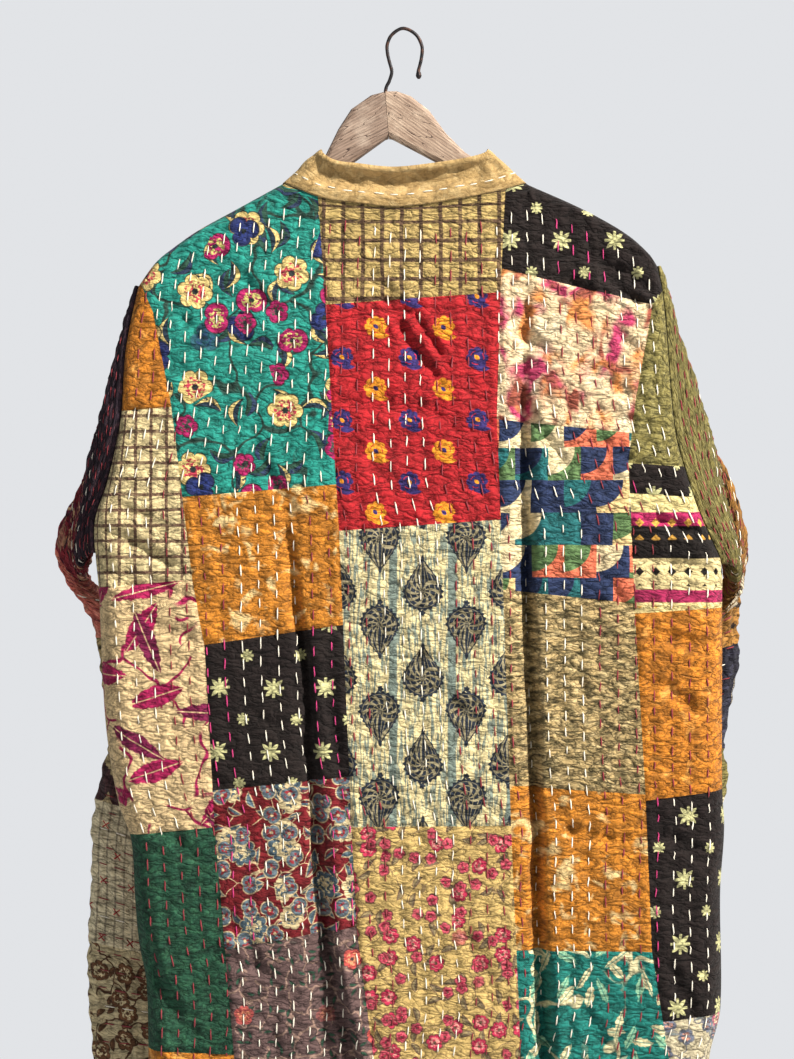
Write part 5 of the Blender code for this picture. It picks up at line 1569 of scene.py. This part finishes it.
for sleeveName, nodeName in (("sleeveLeft", "sleeve_left"), ("sleeveRight", "sleeve_right")):
    print(sleeveName)
    cloth, thread, grid = buildSleeve(sleeveName, sleeves[sleeveName])
    place(cloth, "patchwork_cotton", nodeName)
    place(thread, "patchwork_cotton")

print("collar")
band, bandThread = buildCollar()
place(band, "collar_cotton", "collar")
place(bandThread, "collar_cotton")

print("hook and boards")
place(buildHook(), "wire", "hook")
place(buildGlue(), "left_board")
boardLooks = {
    "hanger_left": woodMaterial("leftBoard", linear(162, 138, 120), linear(108, 86, 72),
                                {"turn": -.5, "dry": (188, 170, 152), "level": .47}),
    "hanger_right": woodMaterial("rightBoard", linear(184, 160, 138), linear(130, 104, 86),
                                 {"turn": .6, "dry": (216, 196, 172), "level": .55}),
}
for nodeName, look in boardLooks.items():
    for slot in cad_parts[nodeName].material_slots:
        slot.material = look

print("floor, lights and camera")
view = {"distance": 2.4, "centreX": -.0048, "centreZ": -.402, "width": .6352}
camera = bpy.data.objects.new("camera", bpy.data.cameras.new("camera"))
camera.data.sensor_width = 36
camera.data.sensor_fit = "HORIZONTAL"
camera.data.lens = 36 * view["distance"] / view["width"]
camera.location = (view["centreX"], -view["distance"] - .015, view["centreZ"])
camera.rotation_euler = (math.radians(90), 0, 0)
bpy.context.collection.objects.link(camera)
bpy.context.scene.camera = camera

floorValues = {"half": 4, "height": -1.6, "grey": .56, "roughness": .9}
floorMesh = bpy.data.meshes.new("floor")
floorMesh.from_pydata([(x * floorValues["half"], y * floorValues["half"], floorValues["height"])
                       for x, y in ((-1, -1), (1, -1), (1, 1), (-1, 1))], [], [(0, 1, 2, 3)])
floor = bpy.data.objects.new("floor", floorMesh)
floorLook = bpy.data.materials.new("paleFloor")
floorLook.use_nodes = True
floorShader = floorLook.node_tree.nodes["Principled BSDF"]
floorShader.inputs["Base Color"].default_value = (*[floorValues["grey"]] * 3, 1)
floorShader.inputs["Roughness"].default_value = floorValues["roughness"]
floorMesh.materials.append(floorLook)
bpy.context.collection.objects.link(floor)


lamps = {
    "key": {"place": (2.3, -1.75, 1.85), "size": .18, "power": 350, "colour": (1.0, .955, .89)},
    "fill": {"place": (-1.9, -1.6, -.1), "size": 1.6, "power": 5, "colour": (.88, .94, 1.0)},
    "behind": {"place": (.6, 2.2, .7), "size": 1.2, "power": 30, "colour": (1.0, .98, .95)},
}
lampTarget = (0, 0, -.45)  # the middle of the jacket


def addLamp(name, place, size, power, colour):
    lamp = bpy.data.lights.new(name, "AREA")
    lamp.shape = "SQUARE"
    lamp.size = size
    lamp.energy = power
    lamp.color = colour
    item = bpy.data.objects.new(name, lamp)
    item.location = place
    item.rotation_euler = (Vector(lampTarget) - Vector(place)).to_track_quat("-Z", "Y").to_euler()
    bpy.context.collection.objects.link(item)


for lampName, lampValues in lamps.items():
    addLamp(lampName, **lampValues)

# A pale backdrop all round, brighter on the far side of the jacket than on the near one.
backdrop = {"from": -.2, "to": .6, "near": .34, "far": .98, "colour": (.775, .79, .815, 1)}
world = bpy.data.worlds.new("paleRoom")
world.use_nodes = True
room = world.node_tree
direction = room.nodes.new("ShaderNodeTexCoord")
parts = room.nodes.new("ShaderNodeSeparateXYZ")
room.links.new(direction.outputs["Generated"], parts.inputs[0])
shading = room.nodes.new("ShaderNodeMapRange")
shading.inputs["From Min"].default_value = backdrop["from"]
shading.inputs["From Max"].default_value = backdrop["to"]
shading.inputs["To Min"].default_value = backdrop["near"]
shading.inputs["To Max"].default_value = backdrop["far"]
room.links.new(parts.outputs["Y"], shading.inputs["Value"])
room.nodes["Background"].inputs["Color"].default_value = backdrop["colour"]
room.links.new(shading.outputs[0], room.nodes["Background"].inputs["Strength"])
bpy.context.scene.world = world
bpy.context.scene.view_settings.view_transform = "Standard"
